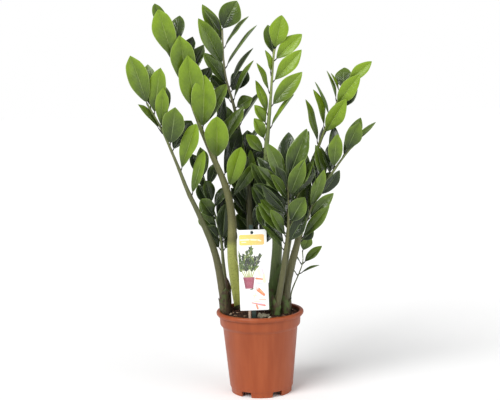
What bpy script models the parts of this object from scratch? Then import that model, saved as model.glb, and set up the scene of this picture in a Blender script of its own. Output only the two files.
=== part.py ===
"""A ZZ plant in its nursery pot: a round plastic pot full of soil, ten arching fronds and a plant label.

Metres, +Z up. The origin is under the middle of the pot, on the surface that it stands on; -Y is the front.
"""

import math

import bmesh
import bpy
from mathutils import Matrix, Vector
from mathutils.bvhtree import BVHTree

# Driving dimensions
GAP = 0.0003  # between solids that touch

POT_HEIGHT = 0.165
RIM_RADIUS = 0.0875
RIM_HEIGHT = 0.009
RIM_ROLL = 0.002  # radius of the rim's rounded edges
RIM_LIP = 0.006  # overhang of the rim over the collar
COLLAR_HEIGHT = 0.018
COLLAR_DRAFT = 0.001  # by which the collar narrows towards its foot
COLLAR_STEP = 0.006  # overhang of the collar over the neck
SHOULDER_HEIGHT = 0.006
POT_TAPER = 0.012  # by which the wall narrows from the neck to the base
BASE_BEND = 0.004
WALL = 0.002
FOOT_HEIGHT = 0.011
FOOT_INSET = 0.0025
FOOT_DRAFT = 0.0005
FOOT_WALL = 0.004
CENTRE_FOOT_RADIUS = 0.010
POT_SIDES = 48
NOTCHES = 6
NOTCH_WIDTH = 0.021
DRAIN_RADIUS = 0.005
DRAIN_INSET = 0.019  # from the foot ring's inner face to the drain holes' circle

SOIL_BELOW_RIM = 0.005
SOIL_MOUND = 0.005
SOIL_SIDES = 36
SOIL_RINGS = (0, 0.3, 0.6, 0.85)  # shares of the soil's radius at which its top is shaped

CARD_WIDTH = 0.056
CARD_HEIGHT = 0.158
CARD_THICKNESS = 0.0012
CARD_ABOVE_SOIL = 0.017
CARD_LEAN = math.radians(-0.9)
CARD_TO_LEFT = 0.0105
CARD_FROM_EDGE = 0.0162  # from the soil's front edge back to the card
CARD_HOLE_RADIUS = 0.003
CARD_HOLE_BELOW_TOP = 0.0055
STAKE_WIDTH = 0.008
STAKE_THICKNESS = 0.0025
STAKE_ABOVE_CARD = 0.009
STAKE_IN_SOIL = 0.040
STAKE_OFFSET = -0.0015
STICK_RADIUS = 0.003
STICK_HEIGHT = 0.12
STICK_IN_SOIL = 0.040
STICK_OFFSET = -0.010
STICK_SIDES = 12

PLANT_HEIGHT = 0.775  # from the surface to about the highest leaflet's tip
ROUTES_TALL = 0.613  # the height from the soil to that tip for which the stems' routes are given
ROUTES_SOIL_RADIUS = 0.0782  # the soil's radius for which the stems' feet are given
ROUTE_SAMPLES = 8  # between two points of a route
STEM_IN_SOIL = 0.015
STEM_SIDES = 8
STEM_STATIONS = 14

LEAFLET_SIZE = 1.0  # share of each leaflet's own length and width
LEAFLET_THICKNESS = 0.0014
LEAFLET_CLEARANCE = 0.0012  # kept free all round each leaflet
STALK_LENGTH = 0.003
STALK_RADIUS = 0.0012
BLADE_SIDES = 4
BLADE_STATIONS = (0.1, 0.28, 0.5, 0.72, 0.9)
BLADE_CREST = 1.12  # over 1 moves the widest place towards the tip
BLADE_FULLNESS = 0.75  # under 1 makes the ends rounder
BLADE_FOLD = 0.14  # rise of the edges over the midrib, as a share of the half width
BLADE_ARCH = 0.05  # drop of the tip, as a share of the length
BLADE_REACH = 0.6  # of its length, from a leaflet's middle, in which it is tested against its neighbours
TURN_STEP = 4  # degrees by which a leaflet is turned to clear its neighbours
TURN_LIMIT = 32
LEAST_SLANT = 0.2  # of a leaflet that lies nearly along its stem

# Each stem is listed as points (x, y, height above the soil), then its radii at the base and at the tip.
# Each leaflet is (share of the stem, lean to the right, lean to the front, roll to the right, length, width),
# in degrees and millimetres. With no roll its upper face looks to the front. Inner leaflets take their places
# last, between the others.
FRONDS = {
    "left": {
        "own_leaflets": True,
        "radii": (0.0085, 0.0018),
        "route": [
            (-0.068, -0.005, 0.000), (-0.085, -0.012, 0.113), (-0.112, -0.020, 0.190),
            (-0.136, -0.028, 0.246), (-0.155, -0.036, 0.300), (-0.180, -0.048, 0.365),
            (-0.207, -0.060, 0.419),
        ],
        "leaflets": [
            (1.00, -17, 10, 0, 95, 40), (0.98, -4, -9, -10, 84, 34), (0.95, 10, 12, -10, 88, 36),
            (0.89, 6, -22, -25, 82, 34), (0.88, 5, 18, -8, 80, 27), (0.88, -29, 18, 75, 63, 32),
            (0.80, 3, 14, -5, 77, 43), (0.77, 32, -20, -20, 72, 36), (0.68, 17, 6, -20, 95, 34),
            (0.56, 16, 12, -30, 90, 26),
        ],
    },
    "left_back": {
        "own_leaflets": False,
        "radii": (0.0045, 0.0014),
        "route": [
            (-0.064, 0.036, 0.000), (-0.072, 0.035, 0.089), (-0.075, 0.032, 0.135),
            (-0.083, 0.030, 0.180), (-0.096, 0.030, 0.225), (-0.107, 0.030, 0.270),
        ],
        "leaflets": [
            (1.00, -4, 6, 20, 60, 26), (0.92, 22, 0, -40, 52, 26), (0.90, -32, 2, 60, 44, 24),
            (0.80, -10, 14, 30, 48, 28), (0.76, 30, -6, -40, 50, 26), (0.69, -36, 12, 20, 50, 32),
            (0.59, -36, 8, 10, 50, 34), (0.50, 20, 8, -50, 60, 26), (0.45, -30, 14, 30, 36, 22),
            (0.66, 20, -10, 0, 69, 32), (0.52, 20, -6, 10, 75, 32),
        ],
        "inner_leaflets": [
            (0.99, -24, -10, 20, 56, 26), (0.76, -29, -10, 20, 56, 30), (0.66, 32, 4, -30, 52, 26),
            (0.52, -40, 8, 20, 39, 26), (0.44, 35, -6, -20, 44, 24),
        ],
    },
    "main": {
        "own_leaflets": True,
        "radii": (0.0115, 0.0018),
        "route": [
            (-0.040, 0.030, 0.000), (-0.053, 0.022, 0.099), (-0.052, 0.010, 0.186),
            (-0.062, 0.000, 0.249), (-0.083, -0.010, 0.305), (-0.104, -0.022, 0.358),
            (-0.126, -0.036, 0.423), (-0.149, -0.050, 0.484), (-0.167, -0.060, 0.537),
        ],
        "leaflets": [
            (1.00, -14, -10, 30, 76, 30), (0.94, -15, 12, -5, 94, 43), (0.95, 9, -22, -30, 84, 36),
            (0.91, -22, 0, 70, 72, 30), (0.83, -5, 20, 0, 101, 47), (0.89, 19, -24, -35, 80, 34),
            (0.84, 23, -24, -30, 96, 38), (0.74, -6, 22, 4, 113, 47), (0.78, 28, -26, -35, 84, 34),
            (0.68, 4, 24, -3, 106, 49), (0.68, 27, -14, -30, 100, 36), (0.57, 30, -12, -40, 114, 38),
            (0.56, 2, 22, 0, 87, 47), (0.45, 18, 12, 10, 83, 36),
        ],
    },
    "top": {
        "own_leaflets": False,
        "radii": (0.0085, 0.0018),
        "route": [
            (-0.014, 0.050, 0.000), (-0.016, 0.055, 0.092), (-0.017, 0.056, 0.210),
            (-0.022, 0.056, 0.278), (-0.031, 0.056, 0.344), (-0.043, 0.056, 0.409),
            (-0.057, 0.056, 0.461), (-0.062, 0.056, 0.505), (-0.063, 0.056, 0.563),
        ],
        "leaflets": [
            (1.00, 29, 8, 0, 64, 46), (0.99, -30, 0, 70, 58, 34), (0.95, -20, -8, 30, 94, 34),
            (0.94, 35, -6, -75, 80, 36), (0.88, -22, 6, 20, 103, 36), (0.87, 34, 2, -78, 104, 38),
            (0.81, -33, 10, 40, 78, 34), (0.80, 29, -10, -76, 92, 38), (0.78, 38, -22, -10, 60, 38),
            (0.75, 22, 8, -76, 92, 38), (0.72, 60, 14, -20, 40, 30), (0.66, 33, -4, -80, 84, 36),
            (0.57, 36, 4, -80, 68, 34), (0.62, -30, -6, 30, 80, 36), (0.52, -26, 10, 20, 80, 38),
            (0.45, 4, 10, 10, 67, 18), (0.38, -13, 14, 0, 60, 18),
        ],
        "inner_leaflets": [
            (0.75, -35, -6, 30, 68, 30), (0.57, -27, -6, 20, 88, 32), (0.49, 38, -8, -20, 56, 30),
            (0.46, -25, 6, 20, 69, 30), (0.39, 41, -8, -10, 64, 32), (0.34, -29, 4, 20, 61, 28),
            (0.29, 25, 6, -20, 64, 28),
        ],
    },
    "centre": {
        "own_leaflets": True,
        "radii": (0.0120, 0.0020),
        "route": [
            (0.024, 0.008, 0.000), (0.034, 0.006, 0.088), (0.037, 0.004, 0.145), (0.029, 0.002, 0.215),
            (0.019, 0.000, 0.305), (0.024, 0.000, 0.364), (0.030, 0.000, 0.423), (0.037, 0.000, 0.501),
            (0.040, 0.000, 0.520),
        ],
        "leaflets": [
            (1.00, 13, 8, 0, 66, 38), (0.98, -7, -20, 15, 66, 32), (0.96, 47, 4, -15, 72, 32),
            (0.91, -9, 12, 65, 46, 24), (0.88, 43, 8, -10, 82, 31), (0.84, -20, 10, 62, 62, 24),
            (0.79, 43, 10, -8, 88, 34), (0.76, -17, 4, 50, 68, 30), (0.72, -30, 12, 40, 44, 26),
            (0.71, 33, 4, -78, 78, 32), (0.66, -24, 14, 30, 48, 26), (0.61, -40, -6, 40, 50, 30),
        ],
    },
    "right": {
        "own_leaflets": True,
        "radii": (0.0080, 0.0018),
        "route": [
            (0.044, 0.040, 0.000), (0.050, 0.034, 0.070), (0.064, 0.024, 0.152), (0.079, 0.012, 0.213),
            (0.097, 0.000, 0.268), (0.124, -0.010, 0.333), (0.147, -0.020, 0.389), (0.164, -0.025, 0.424),
            (0.178, -0.030, 0.450),
        ],
        "leaflets": [
            (1.00, 49, 6, -10, 62, 25), (0.97, 6, -28, -20, 50, 35), (0.95, -20, 6, 78, 44, 26),
            (0.90, 32, 14, -5, 76, 32), (0.92, -13, 4, 72, 60, 26), (0.85, -19, -6, 80, 72, 28),
            (0.78, 31, 16, 0, 80, 34), (0.80, -8, 6, 60, 76, 30), (0.73, -11, 6, 58, 88, 30),
        ],
    },
    "right_low": {
        "own_leaflets": False,
        "radii": (0.0095, 0.0018),
        "route": [
            (0.049, -0.018, 0.000), (0.054, -0.022, 0.054), (0.063, -0.028, 0.093),
            (0.073, -0.030, 0.129), (0.081, -0.032, 0.158), (0.096, -0.034, 0.194),
            (0.118, -0.036, 0.235), (0.147, -0.038, 0.279), (0.173, -0.040, 0.314),
            (0.188, -0.042, 0.331),
        ],
        "leaflets": [
            (1.00, 43, -6, -75, 62, 34), (0.95, 23, 14, 5, 62, 33), (0.92, 27, -16, -10, 88, 28),
            (0.84, 6, 14, 5, 68, 29), (0.80, 8, -18, -20, 72, 28), (0.75, -10, 4, 40, 74, 32),
            (0.67, -3, 12, 72, 78, 34), (0.67, 31, -12, -20, 54, 28), (0.57, 17, 2, -70, 92, 36),
            (0.54, 43, 12, -10, 70, 25), (0.43, 38, 14, -20, 84, 25), (0.60, 5, 10, 30, 80, 30),
            (0.50, 10, -12, 0, 74, 30),
        ],
        "inner_leaflets": [
            (0.85, 1, -15, 0, 83, 24), (0.81, 3, -5, 60, 56, 22), (0.65, -3, -10, 20, 99, 26),
            (0.48, 23, 0, 0, 49, 24), (0.41, 41, 8, 0, 31, 20), (0.68, 39, -14, 0, 61, 28),
        ],
    },
    "front": {
        "own_leaflets": False,
        "radii": (0.0070, 0.0016),
        "route": [
            (0.030, -0.038, 0.000), (0.044, -0.045, 0.072), (0.053, -0.055, 0.133),
            (0.058, -0.060, 0.182), (0.059, -0.065, 0.233), (0.057, -0.068, 0.266),
        ],
        "leaflets": [
            (1.00, 21, 6, -10, 106, 38), (0.99, 3, -22, -5, 104, 40), (0.96, 18, -14, -30, 120, 34),
            (0.97, -17, -6, 20, 88, 30), (0.93, -40, -14, 20, 88, 30), (0.90, -41, 8, 45, 84, 26),
            (0.87, -32, 14, 50, 74, 26), (0.89, 22, 10, -10, 78, 30), (0.84, 31, 2, -60, 94, 30),
            (0.76, -42, -8, 30, 76, 30), (0.70, 30, 16, -20, 60, 36), (0.62, -40, 4, 25, 78, 32),
            (0.60, -27, 14, 45, 68, 26), (0.50, -41, 14, 65, 66, 26), (0.94, -13, -20, 10, 82, 32),
            (0.67, -45, -6, 20, 72, 30),
        ],
        "inner_leaflets": [
            (0.94, -33, -5, 20, 54, 22), (0.91, 25, 12, -10, 73, 30), (0.87, 35, 8, 60, 96, 18),
            (0.85, 44, -4, 65, 94, 18), (0.83, -56, 4, 25, 75, 24), (0.77, -59, -8, 30, 77, 22),
            (0.70, -38, 14, 40, 40, 14), (0.54, -49, 0, 20, 64, 24), (0.56, 31, 8, -10, 60, 28),
        ],
    },
    "back": {
        "own_leaflets": False,
        "radii": (0.0060, 0.0016),
        "route": [
            (0.012, 0.050, 0.000), (0.004, 0.062, 0.092), (-0.004, 0.072, 0.175), (-0.008, 0.080, 0.241),
            (-0.012, 0.086, 0.286),
        ],
        "leaflets": [
            (1.00, -4, 0, 0, 74, 46), (0.94, 28, 4, -30, 66, 34), (0.87, -30, 0, 30, 60, 34),
            (0.81, 30, -6, -20, 64, 38), (0.74, -34, -4, 30, 70, 42), (0.66, 34, 4, -10, 70, 40),
            (0.59, -36, 0, 30, 66, 34), (0.52, 36, -10, -20, 72, 42), (0.48, -32, 6, 20, 64, 38),
            (0.77, -27, -10, 10, 70, 35), (0.66, 23, -8, 0, 78, 35), (0.54, -25, 4, 10, 84, 39),
        ],
        "inner_leaflets": [
            (0.97, 24, -6, -10, 67, 30), (0.80, -25, -14, 20, 65, 32), (0.66, 35, -6, -20, 62, 32),
            (0.54, 44, 4, -20, 52, 30), (0.45, -33, 6, 20, 49, 28), (0.87, 36, 8, -10, 56, 28),
            (0.42, 25, -6, -10, 58, 30), (0.62, -17, 8, 10, 67, 30),
        ],
    },
    "sprout": {
        "own_leaflets": False,
        "radii": (0.0016, 0.0010),
        "route": [
            (0.062, 0.008, 0.000), (0.064, 0.006, 0.034), (0.080, 0.005, 0.073), (0.088, 0.005, 0.096),
            (0.088, 0.005, 0.117),
        ],
        "leaflets": [
            (1.00, 22, 6, 10, 38, 24), (0.82, 46, 4, -35, 50, 19), (0.80, -34, 0, 80, 34, 14),
            (0.64, 64, 0, -80, 42, 16), (0.60, -40, 0, 80, 30, 12),
        ],
    },
}

# Worked out from the driving dimensions
COLLAR_RADIUS = RIM_RADIUS - RIM_LIP
NECK_RADIUS = COLLAR_RADIUS - COLLAR_STEP
BASE_RADIUS = NECK_RADIUS - POT_TAPER
FOOT_RADIUS = BASE_RADIUS - FOOT_INSET
COLLAR_FOOT = POT_HEIGHT - RIM_HEIGHT - COLLAR_HEIGHT
FLOOR_UNDERSIDE = FOOT_HEIGHT + WALL / 2
FLOOR_TOP = FLOOR_UNDERSIDE + WALL
SOIL_RADIUS = COLLAR_RADIUS - COLLAR_DRAFT - WALL - GAP
SOIL_EDGE_TOP = POT_HEIGHT - SOIL_BELOW_RIM
SOIL_LEVEL = SOIL_EDGE_TOP + SOIL_MOUND / 2
ROUTE_SCALE = (PLANT_HEIGHT - SOIL_LEVEL) / ROUTES_TALL


def clear_scene():
    for obj in list(bpy.data.objects):
        bpy.data.objects.remove(obj, do_unlink=True)


def finish_material(name, colour, roughness):
    material = bpy.data.materials.new(name)
    material.use_nodes = True
    shader = material.node_tree.nodes["Principled BSDF"]
    shader.inputs["Base Color"].default_value = (*colour, 1.0)
    shader.inputs["Roughness"].default_value = roughness
    shader.inputs["Metallic"].default_value = 0.0
    return material


def add_object(name, bm, material, smooth=True):
    """Links what the bmesh holds as one object, and frees the bmesh."""
    bmesh.ops.recalc_face_normals(bm, faces=bm.faces[:])
    if bm.calc_volume(signed=True) < 0:
        bmesh.ops.reverse_faces(bm, faces=bm.faces[:])
    mesh = bpy.data.meshes.new(name)
    bm.to_mesh(mesh)
    bm.free()
    if smooth:
        mesh.shade_smooth()
        mesh.set_sharp_from_angle(angle=math.radians(40))
    mesh.materials.append(material)
    obj = bpy.data.objects.new(name, mesh)
    bpy.context.scene.collection.objects.link(obj)
    return obj


def as_helper(obj):
    obj.hide_render = True
    obj.display_type = "WIRE"
    return obj


def join_by(obj, operation, helpers):
    """One Boolean of the object with all the helpers."""
    group = bpy.data.collections.new(obj.name + "_helpers")
    for helper in helpers:
        group.objects.link(as_helper(helper))
    boolean = obj.modifiers.new(operation.lower(), "BOOLEAN")
    boolean.operation = operation
    boolean.operand_type = "COLLECTION"
    boolean.collection = group


def turned(profile, sides):
    """A closed outline of (radius, height), turned once round the Z axis."""
    bm = bmesh.new()
    corners = [bm.verts.new((radius, 0, height)) for radius, height in profile]
    outline = corners + [bm.edges.new(pair) for pair in zip(corners, corners[1:])]
    bmesh.ops.spin(bm, geom=outline, axis=(0, 0, 1), angle=2 * math.pi, steps=sides, use_merge=True)
    bmesh.ops.remove_doubles(bm, verts=bm.verts[:], dist=1e-6)
    return bm


def block(size, matrix):
    bm = bmesh.new()
    bmesh.ops.create_cube(bm, size=1, matrix=matrix @ Matrix.Diagonal((*size, 1)))
    return bm


def rod(radius, length, matrix, sides=16):
    bm = bmesh.new()
    bmesh.ops.create_cone(
        bm, cap_ends=True, segments=sides, radius1=radius, radius2=radius, depth=length, matrix=matrix
    )
    return bm


def loft(rings):
    """Joins a row of rings, each a (matrix, number of sides) for a unit circle, and closes both ends."""
    bm = bmesh.new()
    loops = []
    for matrix, sides in rings:
        verts = bmesh.ops.create_circle(bm, segments=sides, radius=1, matrix=matrix)["verts"]
        loops.append([edge for edge in bm.edges if edge.verts[0] in verts])
    for lower, upper in zip(loops, loops[1:]):
        bmesh.ops.bridge_loops(bm, edges=lower + upper)
    for end in (loops[0], loops[-1]):
        bmesh.ops.contextual_create(bm, geom=end)
    return bm


# The pot: one injection-moulded wall with a rolled rim, a collar, a raised floor and a notched foot ring.

def pot_outside():
    rim_foot = POT_HEIGHT - RIM_HEIGHT
    ring_inside = FOOT_RADIUS - FOOT_WALL
    return [
        (0, 0), (CENTRE_FOOT_RADIUS, 0), (CENTRE_FOOT_RADIUS, FLOOR_UNDERSIDE),
        (ring_inside, FLOOR_UNDERSIDE), (ring_inside, 0), (FOOT_RADIUS, 0),
        (FOOT_RADIUS + FOOT_DRAFT, FOOT_HEIGHT - BASE_BEND), (BASE_RADIUS, FOOT_HEIGHT + BASE_BEND / 2),
        (NECK_RADIUS, COLLAR_FOOT - SHOULDER_HEIGHT), (COLLAR_RADIUS - COLLAR_DRAFT, COLLAR_FOOT),
        (COLLAR_RADIUS, rim_foot), (RIM_RADIUS - RIM_ROLL / 2, rim_foot), (RIM_RADIUS, rim_foot + RIM_ROLL),
        (RIM_RADIUS, POT_HEIGHT - RIM_ROLL), (RIM_RADIUS - RIM_ROLL, POT_HEIGHT),
    ]


def pot_inside():
    return [
        (COLLAR_RADIUS - WALL, POT_HEIGHT), (COLLAR_RADIUS - COLLAR_DRAFT - WALL, COLLAR_FOOT),
        (NECK_RADIUS - WALL, COLLAR_FOOT - SHOULDER_HEIGHT), (BASE_RADIUS - WALL, FOOT_HEIGHT + BASE_BEND),
        (BASE_RADIUS - WALL - BASE_BEND, FLOOR_TOP), (0, FLOOR_TOP),
    ]


def make_pot(material):
    pot = add_object("pot", turned(pot_outside() + pot_inside(), POT_SIDES), material)
    notch_size = (NOTCH_WIDTH, FOOT_WALL * 4, FOOT_HEIGHT * 2)
    drain_circle = FOOT_RADIUS - FOOT_WALL - DRAIN_INSET
    cutters = []
    for index in range(NOTCHES):
        turn = Matrix.Rotation(2 * math.pi * (index + 0.5) / NOTCHES, 4, "Z")
        notch = block(notch_size, turn @ Matrix.Translation((0, FOOT_RADIUS, 0)))
        cutters.append(add_object(f"foot_notch_{index + 1}", notch, material))
        drain = rod(DRAIN_RADIUS, FOOT_HEIGHT, turn @ Matrix.Translation((drain_circle, 0, FOOT_HEIGHT)))
        cutters.append(add_object(f"drain_{index + 1}", drain, material))
    join_by(pot, "DIFFERENCE", cutters)


# The label: a plain printed card on a flat stake, with a thin stick beside it.

def label_frame():
    """The frame of the card: its foot's middle, with the card upright but for its lean."""
    foot = Vector((-CARD_TO_LEFT, CARD_FROM_EDGE - SOIL_RADIUS, SOIL_EDGE_TOP + CARD_ABOVE_SOIL))
    return Matrix.Translation(foot) @ Matrix.Rotation(CARD_LEAN, 4, "Y")


def make_label(card_material, stake_material, stick_material):
    """Makes the card, its stake and the stick, and returns them and the soil's sockets for the last two."""
    frame = label_frame()
    middle = frame @ Matrix.Translation((0, 0, CARD_HEIGHT / 2))
    sheet = block((CARD_WIDTH, CARD_THICKNESS, CARD_HEIGHT), middle)
    card = add_object("label_card", sheet, card_material, smooth=False)
    hole_height = CARD_HEIGHT - CARD_HOLE_BELOW_TOP
    hole_at = frame @ Matrix.Translation((0, 0, hole_height)) @ Matrix.Rotation(math.pi / 2, 4, "X")
    hole = rod(CARD_HOLE_RADIUS, CARD_THICKNESS * 4, hole_at)
    join_by(card, "DIFFERENCE", [add_object("card_hole", hole, card_material)])

    behind = CARD_THICKNESS / 2 + GAP + STAKE_THICKNESS / 2
    low = -CARD_ABOVE_SOIL - STAKE_IN_SOIL
    high = CARD_HEIGHT + STAKE_ABOVE_CARD

    def bar(grow):
        middle = frame @ Matrix.Translation((STAKE_OFFSET, behind, (low + high - grow) / 2))
        return block((STAKE_WIDTH + 2 * grow, STAKE_THICKNESS + 2 * grow, high - low + grow), middle)

    stake = add_object("label_stake", bar(0.0), stake_material, smooth=False)
    peg_length = CARD_THICKNESS + behind
    peg_at = hole_at @ Matrix.Translation((0, 0, peg_length / 2 - behind))
    peg = rod(CARD_HOLE_RADIUS - GAP, peg_length, peg_at)
    join_by(stake, "UNION", [add_object("stake_peg", peg, stake_material)])

    stick_low = -CARD_ABOVE_SOIL - STICK_IN_SOIL
    stick_behind = CARD_THICKNESS / 2 + GAP + STICK_RADIUS

    def stick(grow):
        length = STICK_HEIGHT + STICK_IN_SOIL + grow
        middle = frame @ Matrix.Translation((STICK_OFFSET, stick_behind, stick_low - grow + length / 2))
        return rod(STICK_RADIUS + grow, length, middle, sides=STICK_SIDES)

    sockets = [
        add_object("soil_socket_stake", bar(GAP), stake_material),
        add_object("soil_socket_stick", stick(GAP), stick_material),
    ]
    return [card, stake, add_object("support_stick", stick(0.0), stick_material)], sockets


# The fronds: each stem is a tapered tube along a smooth route, with leaflets standing off it on short stalks.

def smooth_route(points, stations):
    """Places a number of stations evenly along a Catmull-Rom curve through the points."""
    ends = [2 * points[0] - points[1], *points, 2 * points[-1] - points[-2]]
    dense = []
    for a, b, c, d in zip(ends, ends[1:], ends[2:], ends[3:]):
        for step in range(ROUTE_SAMPLES):
            t = step / ROUTE_SAMPLES
            bend = (2 * a - 5 * b + 4 * c - d) * t**2 + (3 * b - 3 * c + d - a) * t**3
            dense.append(b + (c - a) * t / 2 + bend / 2)
    dense.append(points[-1])
    return [along(dense, index / (stations - 1))[0] for index in range(stations)]


def along(points, share):
    """The point at a share of the line's length, and the line's direction there."""
    lengths = [(b - a).length for a, b in zip(points, points[1:])]
    left = share * sum(lengths)
    index = 0
    while index < len(lengths) - 1 and left > lengths[index]:
        left -= lengths[index]
        index += 1
    start, end = points[index], points[index + 1]
    return start.lerp(end, left / lengths[index]), (end - start).normalized()


def stem_radius(frond, share):
    base, tip = frond["radii"]
    return tip + (base - tip) * (1 - share**1.6) ** 2


def stem_line(frond):
    """The stem's stations: straight down into the soil, then along its route."""
    route = [Vector(point) * ROUTE_SCALE for point in frond["route"]]
    base_radius = frond["radii"][0]
    foot = Vector(frond["route"][0]) * (SOIL_RADIUS - base_radius) / (ROUTES_SOIL_RADIUS - base_radius)
    shift = foot - route[0] + Vector((0, 0, SOIL_LEVEL))
    return smooth_route([point + shift for point in route], STEM_STATIONS)


def ring_at(point, direction, radius):
    """A matrix that carries the unit circle to a ring about the point, square to the direction."""
    turn = direction.to_track_quat("Z", "Y").to_matrix().to_4x4()
    return Matrix.Translation(point) @ turn @ Matrix.Diagonal((radius, radius, 1, 1))


def stem_mesh(frond, line, swell=0.0):
    up = Vector((0, 0, 1))
    root = line[0] - up * (STEM_IN_SOIL + swell)
    rings = [(ring_at(root, up, stem_radius(frond, 0) + swell), STEM_SIDES)]
    for index, point in enumerate(line):
        before, after = line[max(index - 1, 0)], line[min(index + 1, len(line) - 1)]
        direction = (after - before).normalized() if index else up
        radius = stem_radius(frond, index / (STEM_STATIONS - 1)) + swell
        rings.append((ring_at(point, direction, radius), STEM_SIDES))
    return loft(rings)


def blade_mesh(length, width, grow=0.0, root=0.0):
    """A leaflet along +Z with its upper face to -Y: a stalk, then a thin folded blade that arches back."""
    stalk = STALK_RADIUS + grow
    thick = LEAFLET_THICKNESS / 2 + grow
    blade = length - STALK_LENGTH
    rings = [(-root, stalk, stalk), (STALK_LENGTH, stalk, stalk)]
    for share in BLADE_STATIONS:
        half = width / 2 * math.sin(math.pi * share**BLADE_CREST) ** BLADE_FULLNESS
        rings.append((STALK_LENGTH + share * blade, half + grow, thick))
    rings.append((length + grow, thick / 2, thick / 2))
    places = [Matrix.Translation((0, 0, z)) @ Matrix.Diagonal((x, y, 1, 1)) for z, x, y in rings]
    bm = loft([(place, BLADE_SIDES) for place in places])
    for vert in bm.verts:
        share = max(vert.co.z, 0) / length
        vert.co.y += BLADE_ARCH * length * share**2 - BLADE_FOLD * abs(vert.co.x)
    return bm


def leaflet_axes(lean, front, roll):
    """The turn that sends +Z along the leaflet and -Y along its upper face."""
    lean, front = math.radians(lean), math.radians(front)
    axis = Vector((math.sin(lean) * math.cos(front), -math.sin(front), math.cos(lean) * math.cos(front)))
    face = Vector((0, -1, 0))
    face = (face - axis * face.dot(axis)).normalized()
    turn = Matrix((axis.cross(face), -face, axis)).transposed().to_4x4()
    return turn @ Matrix.Rotation(math.radians(roll), 4, "Z")


def leaflet_place(frond, line, share, turn):
    """Stands the leaflet's foot on the stem's skin, on the side that the leaflet leaves from."""
    point, direction = along(line, share)
    axis = turn.to_3x3() @ Vector((0, 0, 1))
    aside = axis - direction * axis.dot(direction)
    if share == 1:
        off = GAP + STALK_RADIUS * aside.length
        return Matrix.Translation(point + direction * off) @ turn, off + STALK_RADIUS
    side = aside.normalized()
    off = stem_radius(frond, share) + GAP + STALK_RADIUS * direction.dot(axis)
    slant = max(axis.dot(side), LEAST_SLANT)
    return Matrix.Translation(point + side * off) @ turn, (GAP + STALK_RADIUS * 2) / slant


def turns_to_try():
    """Small turns of a leaflet on its stalk, the smallest first."""
    yield Matrix.Identity(4)
    for size in range(TURN_STEP, TURN_LIMIT + 1, TURN_STEP):
        for tilt, swing, roll in (
            (1, 0, 0), (-1, 0, 0), (0, 1, 0), (0, -1, 0), (1, 1, 0), (-1, 1, 0), (1, -1, 0), (-1, -1, 0),
            (0, 0, 2), (0, 0, -2), (1, 0, 2), (-1, 0, 2), (1, 0, -2), (-1, 0, -2),
        ):
            yield (
                Matrix.Rotation(math.radians(size * tilt), 4, "X")
                @ Matrix.Rotation(math.radians(size * swing), 4, "Y")
                @ Matrix.Rotation(math.radians(size * roll), 4, "Z")
            )


def tree_of(bm, matrix):
    bm.verts.index_update()
    corners = [matrix @ vert.co for vert in bm.verts]
    return BVHTree.FromPolygons(corners, [[vert.index for vert in face.verts] for face in bm.faces])


def settle(frond, line, row, own_stem, taken):
    """Turns a leaflet as little as it takes to clear its own stem and all that has its place already."""
    share, lean, front, roll, length, width = row
    length *= LEAFLET_SIZE / 1000
    width *= LEAFLET_SIZE / 1000
    reach = length * BLADE_REACH
    blade = blade_mesh(length, width, root=-STALK_LENGTH / 4)
    outline = blade_mesh(length, width, grow=LEAFLET_CLEARANCE, root=-STALK_LENGTH / 2)
    for turn in turns_to_try():
        place, root = leaflet_place(frond, line, share, leaflet_axes(lean, front, roll) @ turn)
        tree = tree_of(outline, place)
        middle = place @ Vector((0, 0, length / 2))
        near = [other for spot, far, other in taken if (spot - middle).length < far + reach]
        if not tree_of(blade, place).overlap(own_stem) and not any(tree.overlap(other) for other in near):
            break
    blade.free()
    outline.free()
    taken.append((middle, reach, tree))
    return place, root, length, width


def make_fronds(stem_material, leaf_material, obstacles):
    """Makes every stem and leaflet, and returns the swollen copies of the stems' feet that cut the soil."""
    obstacle_trees = [BVHTree.FromObject(obj, bpy.context.evaluated_depsgraph_get()) for obj in obstacles]
    lines = {name: stem_line(frond) for name, frond in FRONDS.items()}
    stems = {}
    for name, frond in FRONDS.items():
        stem = stem_mesh(frond, lines[name])
        stems[name] = tree_of(stem, Matrix())
        add_object(f"frond_{name}_stem", stem, stem_material)
    rows = [(name, row) for name, frond in FRONDS.items() for row in frond["leaflets"]]
    rows += [(name, row) for name, frond in FRONDS.items() for row in frond.get("inner_leaflets", ())]
    leaflets = {name: [] for name in FRONDS}
    leaflets_taken = []
    for name, row in rows:
        other_trees = obstacle_trees + [tree for other, tree in stems.items() if other != name]
        taken = [(Vector(), 2 * PLANT_HEIGHT, tree) for tree in other_trees] + leaflets_taken
        place, root, length, width = settle(FRONDS[name], lines[name], row, stems[name], taken)
        leaflets_taken.append(taken[-1])
        leaflet = blade_mesh(length, width, root=0.0 if FRONDS[name]["own_leaflets"] else root)
        leaflet.transform(place)
        number = len(leaflets[name]) + 1
        leaflets[name].append(add_object(f"frond_{name}_leaflet_{number:02d}", leaflet, leaf_material))
    feet = []
    for name, frond in FRONDS.items():
        if not frond["own_leaflets"]:
            stem = bpy.data.objects[f"frond_{name}_stem"]
            stem.name = f"frond_{name}"
            join_by(stem, "UNION", leaflets[name])
        foot = stem_mesh(frond, lines[name][:3], swell=GAP)
        feet.append(add_object(f"soil_socket_{name}", foot, stem_material))
    return feet


# The soil fills the pot, with a socket for everything that stands in it.

def make_soil(material, sockets):
    wall = [(radius - GAP, height) for radius, height in pot_inside()[1:-2]]
    foot = [(BASE_RADIUS - WALL - BASE_BEND - GAP, FLOOR_TOP + GAP), (0, FLOOR_TOP + GAP)]
    top = [(SOIL_RADIUS * share, SOIL_EDGE_TOP + SOIL_MOUND * (1 - share**2)) for share in (*SOIL_RINGS, 1)]
    soil = add_object("soil", turned([*top, *wall, *foot], SOIL_SIDES), material)
    join_by(soil, "DIFFERENCE", sockets)


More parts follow.
